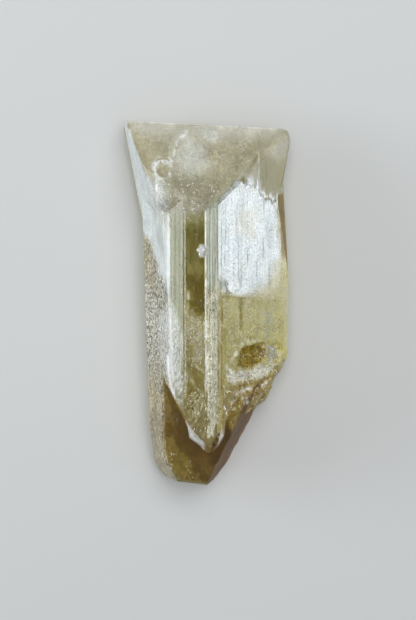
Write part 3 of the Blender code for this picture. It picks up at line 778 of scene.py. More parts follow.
finishes = {
    # tone: colour of the pale coat and of the light let through; frost: share of light that the coat scatters;
    # rough: roughness; then the strength of its patterns: grain (specks), fibre (short dashes), stria (long lines),
    # facet (tilted cells), fleck (sparse dark specks) and dots (sparse white specks, partly painted glints)
    "polished": dict(tone=(0.82, 0.74, 0.42), frost=0.12, rough=0.14, grain=0.15),
    "back": dict(tone=(0.80, 0.73, 0.42), frost=0.34, rough=0.42, grain=0.4, stria=0.3, specksAndGlints=0.3),
    "milky": dict(tone=(0.77, 0.73, 0.51), frost=0.43, rough=0.36, grain=0.60, fibre=0.1, specksAndGlints=0.35),
    "pale top": dict(tone=(0.88, 0.86, 0.74), frost=0.58, rough=0.40, grain=0.30, fibre=0.1),
    "cloud": dict(tone=(0.84, 0.86, 0.79), frost=0.62, rough=0.40, grain=0.40),
    "granular": dict(tone=(0.62, 0.59, 0.42), frost=0.36, rough=0.30, grain=0.55, specksAndGlints=0.9),
    "olive haze": dict(tone=(0.66, 0.62, 0.40), frost=0.38, rough=0.40, grain=0.25, fibre=0.1, specksAndGlints=0.35),
    "pale haze": dict(tone=(0.82, 0.80, 0.66), frost=0.50, rough=0.36, grain=0.20, fibre=0.2),
    "pale blue": dict(tone=(0.88, 0.94, 0.95), frost=0.68, rough=0.34, grain=0.40, fibre=0.2, stria=0.1, fleck=0.25),
    "tan": dict(tone=(0.76, 0.66, 0.48), frost=0.46, rough=0.30, grain=0.20, fibre=0.2, stria=0.1),
    # painted shade: the root's darker brown near the ledge and to the right
    "painted root shade": dict(tone=(0.31, 0.155, 0.0), frost=0.05, rough=0.20, grain=0.30, facet=0.1, fleck=0.3),
    # painted highlight: pale frost at the right face's lower corner, below its painted reflection
    "pale highlight": dict(tone=(0.92, 0.88, 0.70), frost=0.52, rough=0.20, grain=0.5, fleck=0.3, specksAndGlints=0.3),
    # painted reflection: the right face's frost made whiter and bluish where the right panel is reflected
    "white face with painted reflection": dict(tone=(0.84, 0.93, 0.98), frost=0.60, rough=0.11, grain=0.35, stria=0.15, fleck=0.85),
    "blue tint": dict(tone=(0.74, 0.87, 0.99), frost=0.60, rough=0.11, grain=0.4, stria=0.15, fleck=0.6),
    "flare foot": dict(tone=(0.80, 0.83, 0.78), frost=0.55, rough=0.34, grain=0.6, fibre=0.2, stria=0.3, specksAndGlints=0.7),
    # painted highlight: white facets of the ledge wall where they catch the light
    "wall facet highlight": dict(tone=(0.97, 0.97, 0.94), frost=0.80, rough=0.20, grain=0.4, facet=0.4, specksAndGlints=0.4),
    "warm specks": dict(tone=(0.84, 0.74, 0.52), frost=0.55, rough=0.16, grain=0.8, fleck=0.6, specksAndGlints=0.8),
    "lower face": dict(tone=(0.93, 0.84, 0.32), frost=0.35, rough=0.24, grain=0.50, stria=0.10, fleck=0.35, specksAndGlints=0.25),
    "blue stain": dict(tone=(0.42, 0.54, 0.50), frost=0.40, rough=0.24, grain=0.6),
    "thin face": dict(tone=(0.56, 0.35, 0.03), frost=0.16, rough=0.24, grain=0.20, stria=0.3),
    "striated": dict(tone=(0.57, 0.60, 0.34), frost=0.28, rough=0.24, grain=0.35, fibre=0.15, stria=0.26, specksAndGlints=0.20),
    "frosted column": dict(tone=(0.82, 0.88, 0.86), frost=0.58, rough=0.30, grain=0.20, fibre=0.1, stria=0.35),
    "etched": dict(tone=(0.62, 0.59, 0.50), frost=0.54, rough=0.45, grain=2.3, fibre=0.7, fleck=0.4, specksAndGlints=0.7),
    "etched brown": dict(tone=(0.54, 0.48, 0.34), frost=0.44, rough=0.40, grain=1.9, fibre=0.5, fleck=0.3, specksAndGlints=0.4),
    "etched low": dict(tone=(0.59, 0.52, 0.35), frost=0.44, rough=0.36, grain=1.3, fibre=0.8, stria=0.5, fleck=0.15, specksAndGlints=0.3),
    "window": dict(tone=(0.88, 0.87, 0.26), frost=0.04, rough=0.07, grain=0.05, stria=0.05, fibre=0.3, specksAndGlints=0.10),
    "window gold": dict(tone=(0.90, 0.74, 0.04), frost=0.02, rough=0.07, grain=0.10, stria=0.05, fibre=0.3, specksAndGlints=0.10),
    "tan haze": dict(tone=(0.60, 0.44, 0.15), frost=0.24, rough=0.30, grain=0.7, fibre=0.3, fleck=0.2, specksAndGlints=0.3),
    "window low": dict(tone=(0.90, 0.79, 0.33), frost=0.18, rough=0.14, grain=0.5, fibre=0.5, stria=0.1, fleck=0.2, specksAndGlints=0.3),
    "white grain": dict(tone=(0.88, 0.89, 0.84), frost=0.60, rough=0.32, grain=0.7, fibre=0.5, fleck=0.9, specksAndGlints=0.4),
    "red edge": dict(tone=(0.34, 0.11, 0.06), frost=0.42, rough=0.35, grain=0.3),
    "veil": dict(tone=(0.86, 0.82, 0.62), frost=0.34, rough=0.25, grain=0.60, fibre=0.1, stria=0.1, specksAndGlints=0.4),
    "ridge": dict(tone=(0.78, 0.86, 0.72), frost=0.40, rough=0.20, grain=0.25, fibre=0.1, stria=0.7, specksAndGlints=0.2),
    "grainy ridge": dict(tone=(0.96, 0.92, 0.66), frost=0.55, rough=0.28, grain=1.0, fibre=0.3, stria=0.2, facet=0.3, fleck=0.8, specksAndGlints=0.8),
    "root": dict(tone=(0.44, 0.235, 0.0), frost=0.04, rough=0.18, grain=0.30, facet=0.15, fleck=0.2, specksAndGlints=0.06),
    "root haze": dict(tone=(0.66, 0.49, 0.09), frost=0.20, rough=0.28, grain=0.8, fibre=0.3, facet=0.1, fleck=0.3, specksAndGlints=0.7),
    "root edge": dict(tone=(0.30, 0.12, 0.0), frost=0.12, rough=0.55, grain=0.4, stria=0.2, facet=0.1, fleck=0.3),
    "broken": dict(tone=(0.97, 0.74, 0.28), frost=0.22, rough=0.10, grain=0.5, fibre=0.1, stria=0.2, facet=1.4, fleck=0.6, specksAndGlints=0.55),
    "white break": dict(tone=(0.97, 0.95, 0.87), frost=0.68, rough=0.22, grain=0.6, facet=1.0, fleck=0.7, specksAndGlints=0.8),
    "hollow": dict(tone=(0.98, 0.62, 0.08), frost=0.19, rough=0.14, grain=1.5, fibre=1.0, facet=1.1, fleck=0.9, specksAndGlints=0.2),
    "grey facet": dict(tone=(0.86, 0.86, 0.80), frost=0.34, rough=0.12, grain=0.20, facet=0.8, specksAndGlints=0.4),
    "knob": dict(tone=(0.96, 0.98, 0.96), frost=0.52, rough=0.08, grain=0.5, facet=0.4, specksAndGlints=0.6),
    # painted highlight: a thin bright golden line where an edge or a groove catches the light
    "golden highlight": dict(tone=(0.90, 0.70, 0.28), frost=0.50, rough=0.20),
    # white veins, and painted highlights along edges and in a groove
    "white line and highlight": dict(tone=(0.95, 0.96, 0.98), frost=0.85, rough=0.25),
    "white crumbs": dict(tone=(0.95, 0.96, 0.94), frost=0.80, rough=0.25, grain=0.4, facet=0.4, fleck=0.8, specksAndGlints=1.0),
    # dark streaks, and painted shade beside grooves
    "dark line and groove shade": dict(tone=(0.30, 0.26, 0.12), frost=0.30, rough=0.20),
}
patterns = ("frost", "rough", "grain", "fibre", "stria", "facet", "fleck", "specksAndGlints")

areas = (
    # finish, corners (x, y) seen from the front, softness of the border, how ragged it is, how long its fringe is
    # compared with its width, strength
    ("milky", ((-13.5, 31.5), (-9.9, 22.6), (-6, 17.5), (0.4, 17.6), (6.1, 22.6), (13.5, 31.5)), 0.25, 0.0, 2, 1.0),
    ("pale top", ((-13.5, 31.5), (-12.5, 28.8), (-4.0, 28.0), (6.0, 27.8), (12.0, 28.3), (13.5, 31.5)), 1.4, 0.4, 1, 0.9),
    ("tan", ((-12.9, 29.5), (-9.9, 22.6), (-8.0, 21.5), (-8.5, 23.0), (-11.5, 29.5)), 0.5, 0.3, 2, 0.5),
    ("olive haze", ((0.5, 19.5), (5.0, 23.5), (12.6, 29.0), (9.0, 27.6), (3.0, 23.5), (-1.0, 21.0)), 1.4, 0.3, 2, 0.7),
    ("granular", ((-6.5, 22.0), (-1.5, 23.0), (1.0, 20.5), (0.4, 17.5), (-3.8, 15.2), (-6.2, 17.4)), 1.2, 0.5, 2, 0.9),
    ("granular", ((4.2, 24.6), (6.5, 26.6), (7.6, 25.6), (6.2, 23.6), (4.6, 22.8)), 0.7, 0.5, 2, 0.5),
    ("flare foot", ((-9.2, 22.4), (-7.6, 21.9), (-6.2, 19.8), (-5.2, 17.0), (-6.2, 14.5), (-9.2, 16.2)), 1.2, 0.6, 2, 0.9),
    ("cloud", ((-5.4, 27.4), (-2.7, 28.1), (0.2, 26.8), (0.3, 23.6), (-2.2, 22.6), (-4.6, 23.0)), 1.3, 0.5, 1, 0.75),
    ("cloud", ((-0.7, 29.9), (2.1, 29.3), (1.5, 27.4), (-0.9, 27.9)), 0.6, 0.5, 1, 0.7),
    ("olive haze", ((6.1, 22.5), (13.5, 30.0), (14.5, 24.0), (13.5, 17.0), (10.7, 18.4), (7.7, 20.7)), 0.2, 0.1, 2, 1.0),
    ("pale haze", ((8.8, 26.4), (12.4, 29.8), (14.6, 28.4), (14.0, 24.5), (11.0, 24.8)), 1.6, 0.3, 2, 0.8),
    ("pale haze", ((6.1, 22.5), (8.7, 25.2), (8.8, 19.8), (7.7, 20.7)), 0.5, 0.8, 5, 0.6),
    # painted reflection of the right panel, over the right face's pale frost
    ("white face with painted reflection", ((0.5, 18.1), (3.6, 20.7), (6.1, 22.5), (7.9, 21.4), (9.9, 19.2), (12.4, 18.8), (12.4, 13.0),
                    (12.7, 8.4), (12.2, 6.2), (11.2, 4.2), (9.6, 2.9), (6.0, 2.7), (3.2, 2.9), (1.9, 4.6), (1.7, 7.0),
                    (1.7, 12.5)), 1.0, 1.1, 7, 1.0),
    ("blue tint", ((2.6, 12.8), (6.5, 12.6), (7.6, 10.5), (5.5, 8.6), (3.0, 9.2)), 1.0, 0.9, 2, 0.6),
    ("warm specks", ((5.5, 16.8), (8.2, 16.6), (8.6, 12.0), (6.6, 11.0), (5.2, 13.0)), 0.9, 0.9, 2, 0.5),
    ("thin face", ((12.0, 18.6), (12.4, 13.0), (12.7, 8.5), (13.2, 3.8), (13.4, 0.5), (15.5, 0.5), (15.5, 18.6)),
     0.15, 0.1, 2, 1.0),
    ("lower face", ((2.0, 4.2), (3.4, 3.0), (6.0, 2.5), (9.4, 2.3), (11.2, 4.0), (12.4, 7.2), (14.5, 7.8), (14.5, -9.0),
                    (9.0, -13.0), (2.0, -22.0)), 0.6, 0.7, 6, 1.0),
    # painted highlight at the lower corner of the right face
    ("pale highlight", ((8.8, 3.2), (10.4, 4.8), (12.6, 8.6), (13.4, 6.6), (12.8, 2.8), (9.5, 1.8)), 1.0, 0.5, 3, 0.6),
    ("blue stain", ((9.6, -1.4), (10.9, -1.2), (11.1, -2.9), (10.0, -3.2)), 0.45, 0.9, 1, 0.65),
    ("blue stain", ((9.8, -4.0), (10.5, -3.9), (10.6, -5.4), (10.0, -5.5)), 0.40, 0.9, 1, 0.5),
    ("white break", ((3.7, -9.4), (6.5, -10.7), (9.5, -9.8), (11.0, -10.6), (9.0, -12.8), (4.3, -12.3)), 0.5, 0.8, 2, 0.85),
    ("broken", ((3.6, -12.6), (9.2, -12.6), (11.6, -11.0), (12.0, -18.0), (3.0, -22.0), (2.6, -16.0)), 0.5, 0.5, 2, 0.9),
    ("grey facet", ((9.9, -6.7), (11.4, -7.0), (12.4, -9.0), (10.7, -10.0)), 0.25, 0.3, 2, 0.85),
    ("window", ((-3.75, 17.0), (0.1, 17.0), (0.1, 2.0), (0.1, -2.0), (-3.75, 0.5)), 0.25, 0.3, 4, 1.0),
    ("window low", ((-3.75, 1.2), (-1.8, 0.4), (0.1, -1.2), (0.1, -21.0), (-3.75, -18.0)), 1.1, 0.9, 3, 1.0),
    ("granular", ((-5.2, 16.2), (-1.5, 15.6), (1.6, 17.0), (1.6, 21.0), (-5.2, 21.0)), 2.2, 0.8, 3, 1.0),
    ("window gold", ((-2.4, 8.0), (-0.2, 9.5), (0.1, 0.5), (-1.4, -0.5), (-3.4, 2.0)), 0.9, 0.6, 3, 0.9),
    ("window gold", ((-1.6, 13.6), (-0.3, 13.6), (-0.3, 11.8), (-1.4, 11.6)), 0.6, 0.6, 3, 0.5),
    ("window gold", ((-3.2, -9.4), (-0.6, -9.0), (-0.4, -13.0), (-3.0, -13.4)), 0.8, 0.8, 3, 0.4),
    ("veil", ((-3.7, 1.0), (-1.2, -0.5), (0.0, -1.5), (-0.2, -5.5), (-1.0, -8.0), (-2.4, -5.0), (-3.6, -4.0)),
     0.7, 1.6, 3, 0.6),
    ("veil", ((-2.6, -13.6), (-0.6, -13.4), (-0.8, -17.5), (-2.2, -17.5)), 0.6, 0.9, 2, 0.5),
    ("striated", ((-6.2, 16.5), (-3.8, 16.5), (-3.7, -15.5), (-5.3, -15.5), (-6.0, -3.0)), 0.25, 0.3, 3, 1.0),
    ("granular", ((-6.2, 14.9), (-3.6, 15.4), (-3.6, 18.6), (-5.4, 18.6)), 1.6, 0.8, 3, 0.8),
    ("white grain", ((-8.3, -2.0), (-6.0, 1.5), (-4.4, -1.5), (-3.8, -4.0), (-3.7, -13.2), (-4.6, -14.6), (-5.6, -11.5),
                     (-6.9, -9.0), (-8.3, -7.5)), 0.8, 0.8, 5, 0.8),
    ("ridge", ((0.0, 17.6), (2.0, 19.2), (2.0, 4.0), (0.0, 4.0)), 0.12, 0.0, 2, 1.0),
    ("grainy ridge", ((0.0, 5.4), (1.0, 4.2), (2.0, 5.0), (2.6, 2.0), (2.2, -13.0), (1.6, -20.5), (0.2, -20.5),
                      (0.0, -12.0)), 0.2, 0.6, 4, 1.0),
    ("etched brown", ((-10.9, 11.6), (-9.1, 11.0), (-8.4, 7.1), (-8.6, 2.0), (-10.6, 4.0)), 0.5, 0.4, 2, 0.8),
    ("veil", ((-3.4, 8.8), (-0.6, 8.4), (-0.8, 6.2), (-2.6, 6.6)), 0.8, 1.2, 2, 0.25),
    ("veil", ((-3.6, 13.0), (-2.2, 12.6), (-2.4, 8.8), (-3.6, 9.2)), 0.7, 1.0, 4, 0.18),
    ("veil", ((-3.5, 4.6), (-1.8, 4.2), (-2.2, 1.8), (-3.4, 2.0)), 0.7, 1.0, 2, 0.22),
)

lines = (
    # finish, places (x, y), half width, how broken up it is, strength
    # painted highlights along the edges of ridge, strip, flare, dome and chisel, and in a groove
    ("white line and highlight", ((-0.05, 17.3), (0.0, 4.0), (0.1, -11.5)), 0.12, 0.2, 0.9),
    ("white line and highlight", ((-6.15, 16.0), (-6.1, 3.5), (-5.95, -4.9), (-5.3, -15.2)), 0.30, 0.2, 0.7),
    ("white line and highlight", ((8.8, 26.0), (8.8, 19.6)), 0.10, 0.2, 0.8),
    ("white line and highlight", ((-8.15, 21.0), (-8.1, 16.2)), 0.15, 0.3, 0.7),
    ("white line and highlight", ((-12.8, 29.6), (-12.5, 28.4)), 0.16, 0.1, 0.8),
    ("white line and highlight", ((-13.0, 30.9), (0.0, 30.3), (12.6, 29.6)), 0.17, 0.3, 0.7),
    ("white line and highlight", ((5.4, 16.2), (5.5, 13.0)), 0.08, 0.2, 0.4),
    # painted shade beside the grooves at x -3.65, 2.35 and 5.85, painted highlight inside the one at 2.35
    ("dark line and groove shade", ((-3.75, 14.0), (-3.65, -12.5)), 0.11, 0.6, 0.35),
    ("dark line and groove shade", ((2.05, 0.0), (2.1, -14.0)), 0.10, 0.3, 0.7),
    ("golden highlight", ((2.35, 1.0), (2.35, -14.6)), 0.12, 0.2, 0.9),
    ("dark line and groove shade", ((2.65, 0.0), (2.65, -13.0)), 0.10, 0.3, 0.7),
    ("dark line and groove shade", ((5.85, 2.0), (5.85, -3.2)), 0.10, 0.3, 0.7),
    ("dark line and groove shade", ((0.55, 17.5), (0.55, -6.0)), 0.08, 0.4, 0.45),
    ("dark line and groove shade", ((1.45, 17.5), (1.45, -4.0)), 0.08, 0.4, 0.45),
    ("veil", ((-2.5, -1.9), (-1.6, -1.0), (-0.8, -0.6)), 0.16, 0.4, 0.8),
    ("veil", ((-2.9, -2.8), (-2.0, -2.3)), 0.14, 0.4, 0.8),
    ("veil", ((-1.6, -4.4), (-0.7, -3.4), (-0.1, -3.0)), 0.22, 0.2, 0.8),
    ("veil", ((-2.4, -7.4), (-1.6, -7.7), (-0.9, -7.3)), 0.24, 0.2, 0.8),
    ("veil", ((-1.0, -7.4), (-1.2, -6.6), (-1.7, -5.8)), 0.22, 0.2, 0.8),
    ("veil", ((-1.9, -8.6), (-1.1, -9.3), (-0.2, -9.6)), 0.24, 0.2, 0.8),
    ("veil", ((-3.2, -10.2), (-2.2, -11.4), (-1.8, -12.6)), 0.30, 0.3, 0.7),
    ("veil", ((-3.3, -2.6), (-2.6, -3.9), (-2.5, -5.2)), 0.3, 0.5, 0.8),
    ("pale haze", ((13.3, 2.4), (13.9, -2.0), (14.0, -7.6)), 0.55, 0.1, 0.8),
    ("cloud", ((-3.0, 3.6), (-2.9, 2.4)), 0.25, 0.2, 0.8),
    ("white crumbs", ((-8.6, 24.0), (-8.1, 24.7), (-7.0, 24.9), (-6.0, 24.7)), 0.50, 0.35, 1.0),
    ("white crumbs", ((-5.7, 24.6), (-5.8, 23.6), (-6.1, 22.6)), 0.30, 0.45, 0.9),
    ("white crumbs", ((-8.6, 23.8), (-8.5, 22.9), (-8.0, 22.2)), 0.26, 0.55, 0.9),
    ("white crumbs", ((-8.2, 22.3), (-7.3, 22.1), (-6.9, 21.5)), 0.32, 0.5, 0.7),
    ("white line and highlight", ((-5.9, 24.8), (-5.4, 25.4), (-4.9, 27.4), (-4.5, 28.2), (-3.5, 28.7), (-2.6, 30.1)), 0.19, 0.5, 0.7),
    ("white line and highlight", ((2.6, 4.6), (3.6, 3.0), (3.0, 2.4)), 0.12, 0.4, 0.7),
    ("white crumbs", ((6.4, -5.0), (4.9, -7.6), (4.0, -9.8)), 0.35, 0.65, 0.8),
    ("white crumbs", ((6.2, -5.4), (8.4, -5.6)), 0.30, 0.65, 0.8),
    ("white crumbs", ((5.2, -14.0), (7.6, -13.8)), 0.45, 0.6, 0.9),
    ("white crumbs", ((4.4, -15.4), (6.0, -15.2), (7.2, -16.2)), 0.40, 0.7, 0.8),
    ("white crumbs", ((3.4, -17.4), (4.6, -17.0)), 0.35, 0.7, 0.7),
    ("white crumbs", ((9.0, -14.0), (10.4, -12.9)), 0.35, 0.6, 0.9),
    # painted highlights along the ledge's brow, golden and white
    ("golden highlight", ((-6.5, -12.3), (-5.1, -15.0), (-2.9, -19.2), (-1.6, -21.0)), 0.14, 0.3, 0.7),
    ("white line and highlight", ((-6.4, -8.0), (-6.15, -11.5), (-5.4, -14.9)), 0.26, 0.05, 1.0),
    ("dark line and groove shade", ((7.0, 10.4), (6.9, 8.6), (7.1, 6.4)), 0.08, 0.5, 0.5),
    ("dark line and groove shade", ((5.4, 6.6), (5.5, 4.4)), 0.08, 0.4, 0.5),
    ("dark line and groove shade", ((3.0, 5.4), (3.5, 4.0), (4.2, 2.9)), 0.09, 0.3, 0.6),
    ("dark line and groove shade", ((2.5, 9.0), (2.5, 3.0)), 0.09, 0.5, 0.5),
    # painted highlight: a pale spot over the small shadow at the tip of the last growth's step
    ("pale haze", ((5.3, 22.1), (6.0, 22.8), (6.7, 22.5)), 0.35, 0.0, 0.9),
)


rootHaze = (
    # hazy patches on the root: finish, corners (x, y), strength
    ("root haze", ((-7.6, -19.8), (-5.7, -23.2), (-3.5, -25.8), (-1.7, -30.3), (-7.0, -31.5), (-8.5, -23.5)), 0.85),
    ("tan haze", ((-8.8, -9.0), (-6.4, -13.5), (-5.2, -17.0), (-6.0, -20.5), (-8.8, -20.5)), 0.8),
    ("root haze", ((-1.5, -25.6), (0.6, -26.2), (0.2, -28.5), (-1.6, -27.5)), 0.35),
)


def patchMask(points, corners, soft, ragged, fringe, seed):
    # 1 inside a flat outline and 0 outside: signed distance from its sides, with noise to make the border ragged
    corners = np.array(corners, float)
    nearest = np.full(len(points), 1e9)
    crossings = np.zeros(len(points), bool)
    for a, b in zip(corners, np.roll(corners, -1, axis=0)):
        t = np.clip(((points[:, :2] - a) @ (b - a)) / ((b - a) @ (b - a)), 0.0, 1.0)
        away = points[:, :2] - a - t[:, None] * (b - a)
        nearest = np.minimum(nearest, np.hypot(away[:, 0], away[:, 1]))
        spans = (a[1] > points[:, 1]) != (b[1] > points[:, 1])
        reach = a[0] + (points[:, 1] - a[1]) / (b[1] - a[1] + 1e-12) * (b[0] - a[0])
        crossings ^= spans & (points[:, 0] < reach)
    distance = np.where(crossings, nearest, -nearest)
    size = 0.7 / math.sqrt(fringe / 2.0)
    return smooth(distance + ragged * layers(points / np.array([size, size * fringe, size]), seed), -soft, soft)


def paintCrystal(thing):
    mesh = thing.data
    points = places(mesh)
    normals = np.zeros(len(points) * 3, np.float32)
    mesh.vertex_normals.foreach_get("vector", normals)
    normals = normals.reshape(-1, 3)
    x, y, z = points.T
    front = smooth(normals[:, 2], -0.05, 0.12)
    coat = np.zeros((len(points), 3 + len(patterns)))

    def lay(finish, mask):
        # covers what is there with a finish, as far as the mask says
        f = finishes[finish]
        coat[:] += (np.array([*f["tone"]] + [f.get(name, 0.0) for name in patterns]) - coat) * mask[:, None]

    def facing(face, planes):
        normal, _ = plane(planes[face])
        return smooth(normals @ normal, 0.75, 0.9)

    def depthIn(planes):
        # how far each point lies outside a body given by planes, less than nothing inside it
        return np.max([points @ normal - reach for normal, reach in (plane(face) for face in planes.values())], axis=0)

    lay("polished", np.ones(len(points)))
    lay("back", 1.0 - front)
    left = smooth(z, 3.0, 5.0) * smooth(normals[:, 0], 0.1, -0.3) * smooth(normals[:, 2], -0.1, 0.1)
    border = y - np.interp(x, (-11.0, -9.2, -8.0, -6.8, -6.1), (12.5, 9.4, 6.3, 4.2, 2.3))
    lay("pale blue", left * smooth(x, -5.9, -6.2) * smooth(y, 0.0, 3.0))
    lay("frosted column", left * smooth(x, -5.9, -6.2) * smooth(x, -8.4, -7.9) * smooth(y, 20.5, 17.5) * smooth(y, 1.0, 3.5))
    lay("etched", left * smooth(x, -5.7, -6.1) * smooth(border + 0.8 * layers(points / 1.2, 201), 0.5, -0.5))
    lay("etched low", left * smooth(x, -5.7, -6.1) * smooth(y + 0.8 * layers(points / 1.2, 202), -9.0, -16.0))
    proud = smooth(depthIn(prism), 0.10, 0.04)
    for seed, (finish, corners, soft, ragged, fringe, strength) in enumerate(areas):
        shown = front * strength * patchMask(points, corners, soft, ragged, fringe, 210 + seed)
        # the painted reflection stays off where the last growth stands proud, left of x 7 to 8
        lay(finish, shown * np.maximum(proud, smooth(x, 7.0, 8.0)) if finish == "white face with painted reflection" else shown)
    deep = smooth(-np.minimum(depthIn(prism), depthIn(cap)), 0.35, 0.6)
    below = smooth(y + 0.3 * x, -9.0, -11.0)
    lay("broken", deep * below)
    inRoot = deep * below * smooth(x + 0.35 * (y + 18.0), 3.6, 2.4)
    lay("root", inRoot)
    # painted shade: the root darker brown towards its right and towards the ledge
    lay("painted root shade", inRoot * smooth(x + 0.5 * (y + 24.0), -1.0, 1.5))
    for seed, (finish, corners, strength) in enumerate(rootHaze):
        lay(finish, inRoot * strength * patchMask(points, corners, 1.2, 0.9, 2, 260 + seed))
    # the steep wall of the ledge, with painted highlights: golden along it from x -5.6 on, white on two facets
    wall = deep * below * smooth(normals[:, 2], 0.75, 0.55) * smooth(z, 9.3, 10.2)
    lay("golden highlight", 0.5 * wall * smooth(x, -5.6, -5.0))
    lay("wall facet highlight", wall * smooth(x, -3.6, -3.2) * smooth(x, 0.1, -0.5))
    lay("wall facet highlight", 0.8 * wall * smooth(x, 1.8, 2.2) * smooth(x, 3.4, 2.9))
    pit = np.hypot((x - 7.5) * 0.8, (y + 8.3) * 1.1)
    lay("hollow", smooth(pit, 2.4, 1.9) * smooth(-depthIn(prism), 0.15, 0.4))
    cleaved, cleavedReach = plane(breaks["cleavedSide"])
    near = smooth(np.abs(points @ cleaved - cleavedReach), 0.35, 0.2) * smooth(normals @ cleaved, 0.5, 0.75)
    lay("root edge", below * near)
    lay("red edge", 0.6 * below * near * smooth(z, 2.8, 0.8) * smooth(y, -18.0, -22.0))
    for seed, (finish, places_, width, patchy, strength) in enumerate(lines):
        mask = np.exp(-(lineDistance(points, places_) / width) ** 2)
        worn = smooth(noise(points / np.array([0.5, 0.9, 0.5]), 240 + seed), -1.0 + 1.2 * patchy, -0.6 + 1.4 * patchy)
        lay(finish, front * mask * strength * worn)
    lay("knob", smooth(np.hypot(x + 0.65, y - 10.6), 1.3, 0.9) * smooth(z, 16.7, 16.9))
    coat[:, :3] = np.clip(coat[:, :3], 0.0, 1.0)
    colour = mesh.attributes.new("tone", "FLOAT_COLOR", "POINT")
    opaque = np.ones((len(points), 1))
    colour.data.foreach_set("color", np.concatenate([coat[:, :3], opaque], 1).astype(np.float32).ravel())
    for column, name in enumerate(patterns):
        layer = mesh.attributes.new(name, "FLOAT", "POINT")
        layer.data.foreach_set("value", coat[:, 3 + column].astype(np.float32))


# The mineral itself

mineral = {
    "ior": 1.63,
    "tint": (0.80, 0.745, 0.02),        # colour that is left of white light deep inside
    "density": 100.0,                   # how fast light is taken up on its way, per metre
    "grainSize": (0.18, 0.26, 0.18),    # size of the patterns in millimetres, across, along and up
    "cellSize": (0.20, 0.27, 0.20),
    "cellShare": 0.5,                   # share of the specks that come from single cells, the rest from noise
    "fleckSize": (0.17, 0.25, 0.17),
    "fibreSize": (0.15, 0.55, 0.15),
    "striaSize": (0.20, 14.0, 0.20),
    "facetSize": (0.60, 1.00, 0.60),
    "dotSize": (0.36, 0.50, 0.36),
    "cloudSize": (3.4, 5.0, 3.4),
    "wanderSize": (1.1, 2.6, 1.1),
    "grainHeight": 0.007,               # height of the bumps in millimetres
    "fibreHeight": 0.020,
    "striaHeight": 0.016,
    "facetHeight": 0.30,
    "dotHeight": 0.03,
    "dotReach": 0.36,                   # size of a white speck, as a share of its cell
    "dotShare": 0.40,                   # share of the cells that hold one
}


def node(tree, kind, inputs=None, **settings):
    # adds a node; each input is a plain value or another node's output to link
    made = tree.nodes.new(kind)
    for name, value in settings.items():
        setattr(made, name, value)
    for key, value in (inputs or {}).items():
        if isinstance(value, bpy.types.NodeSocket):
            tree.links.new(value, made.inputs[key])
        else:
            made.inputs[key].default_value = value
    return made


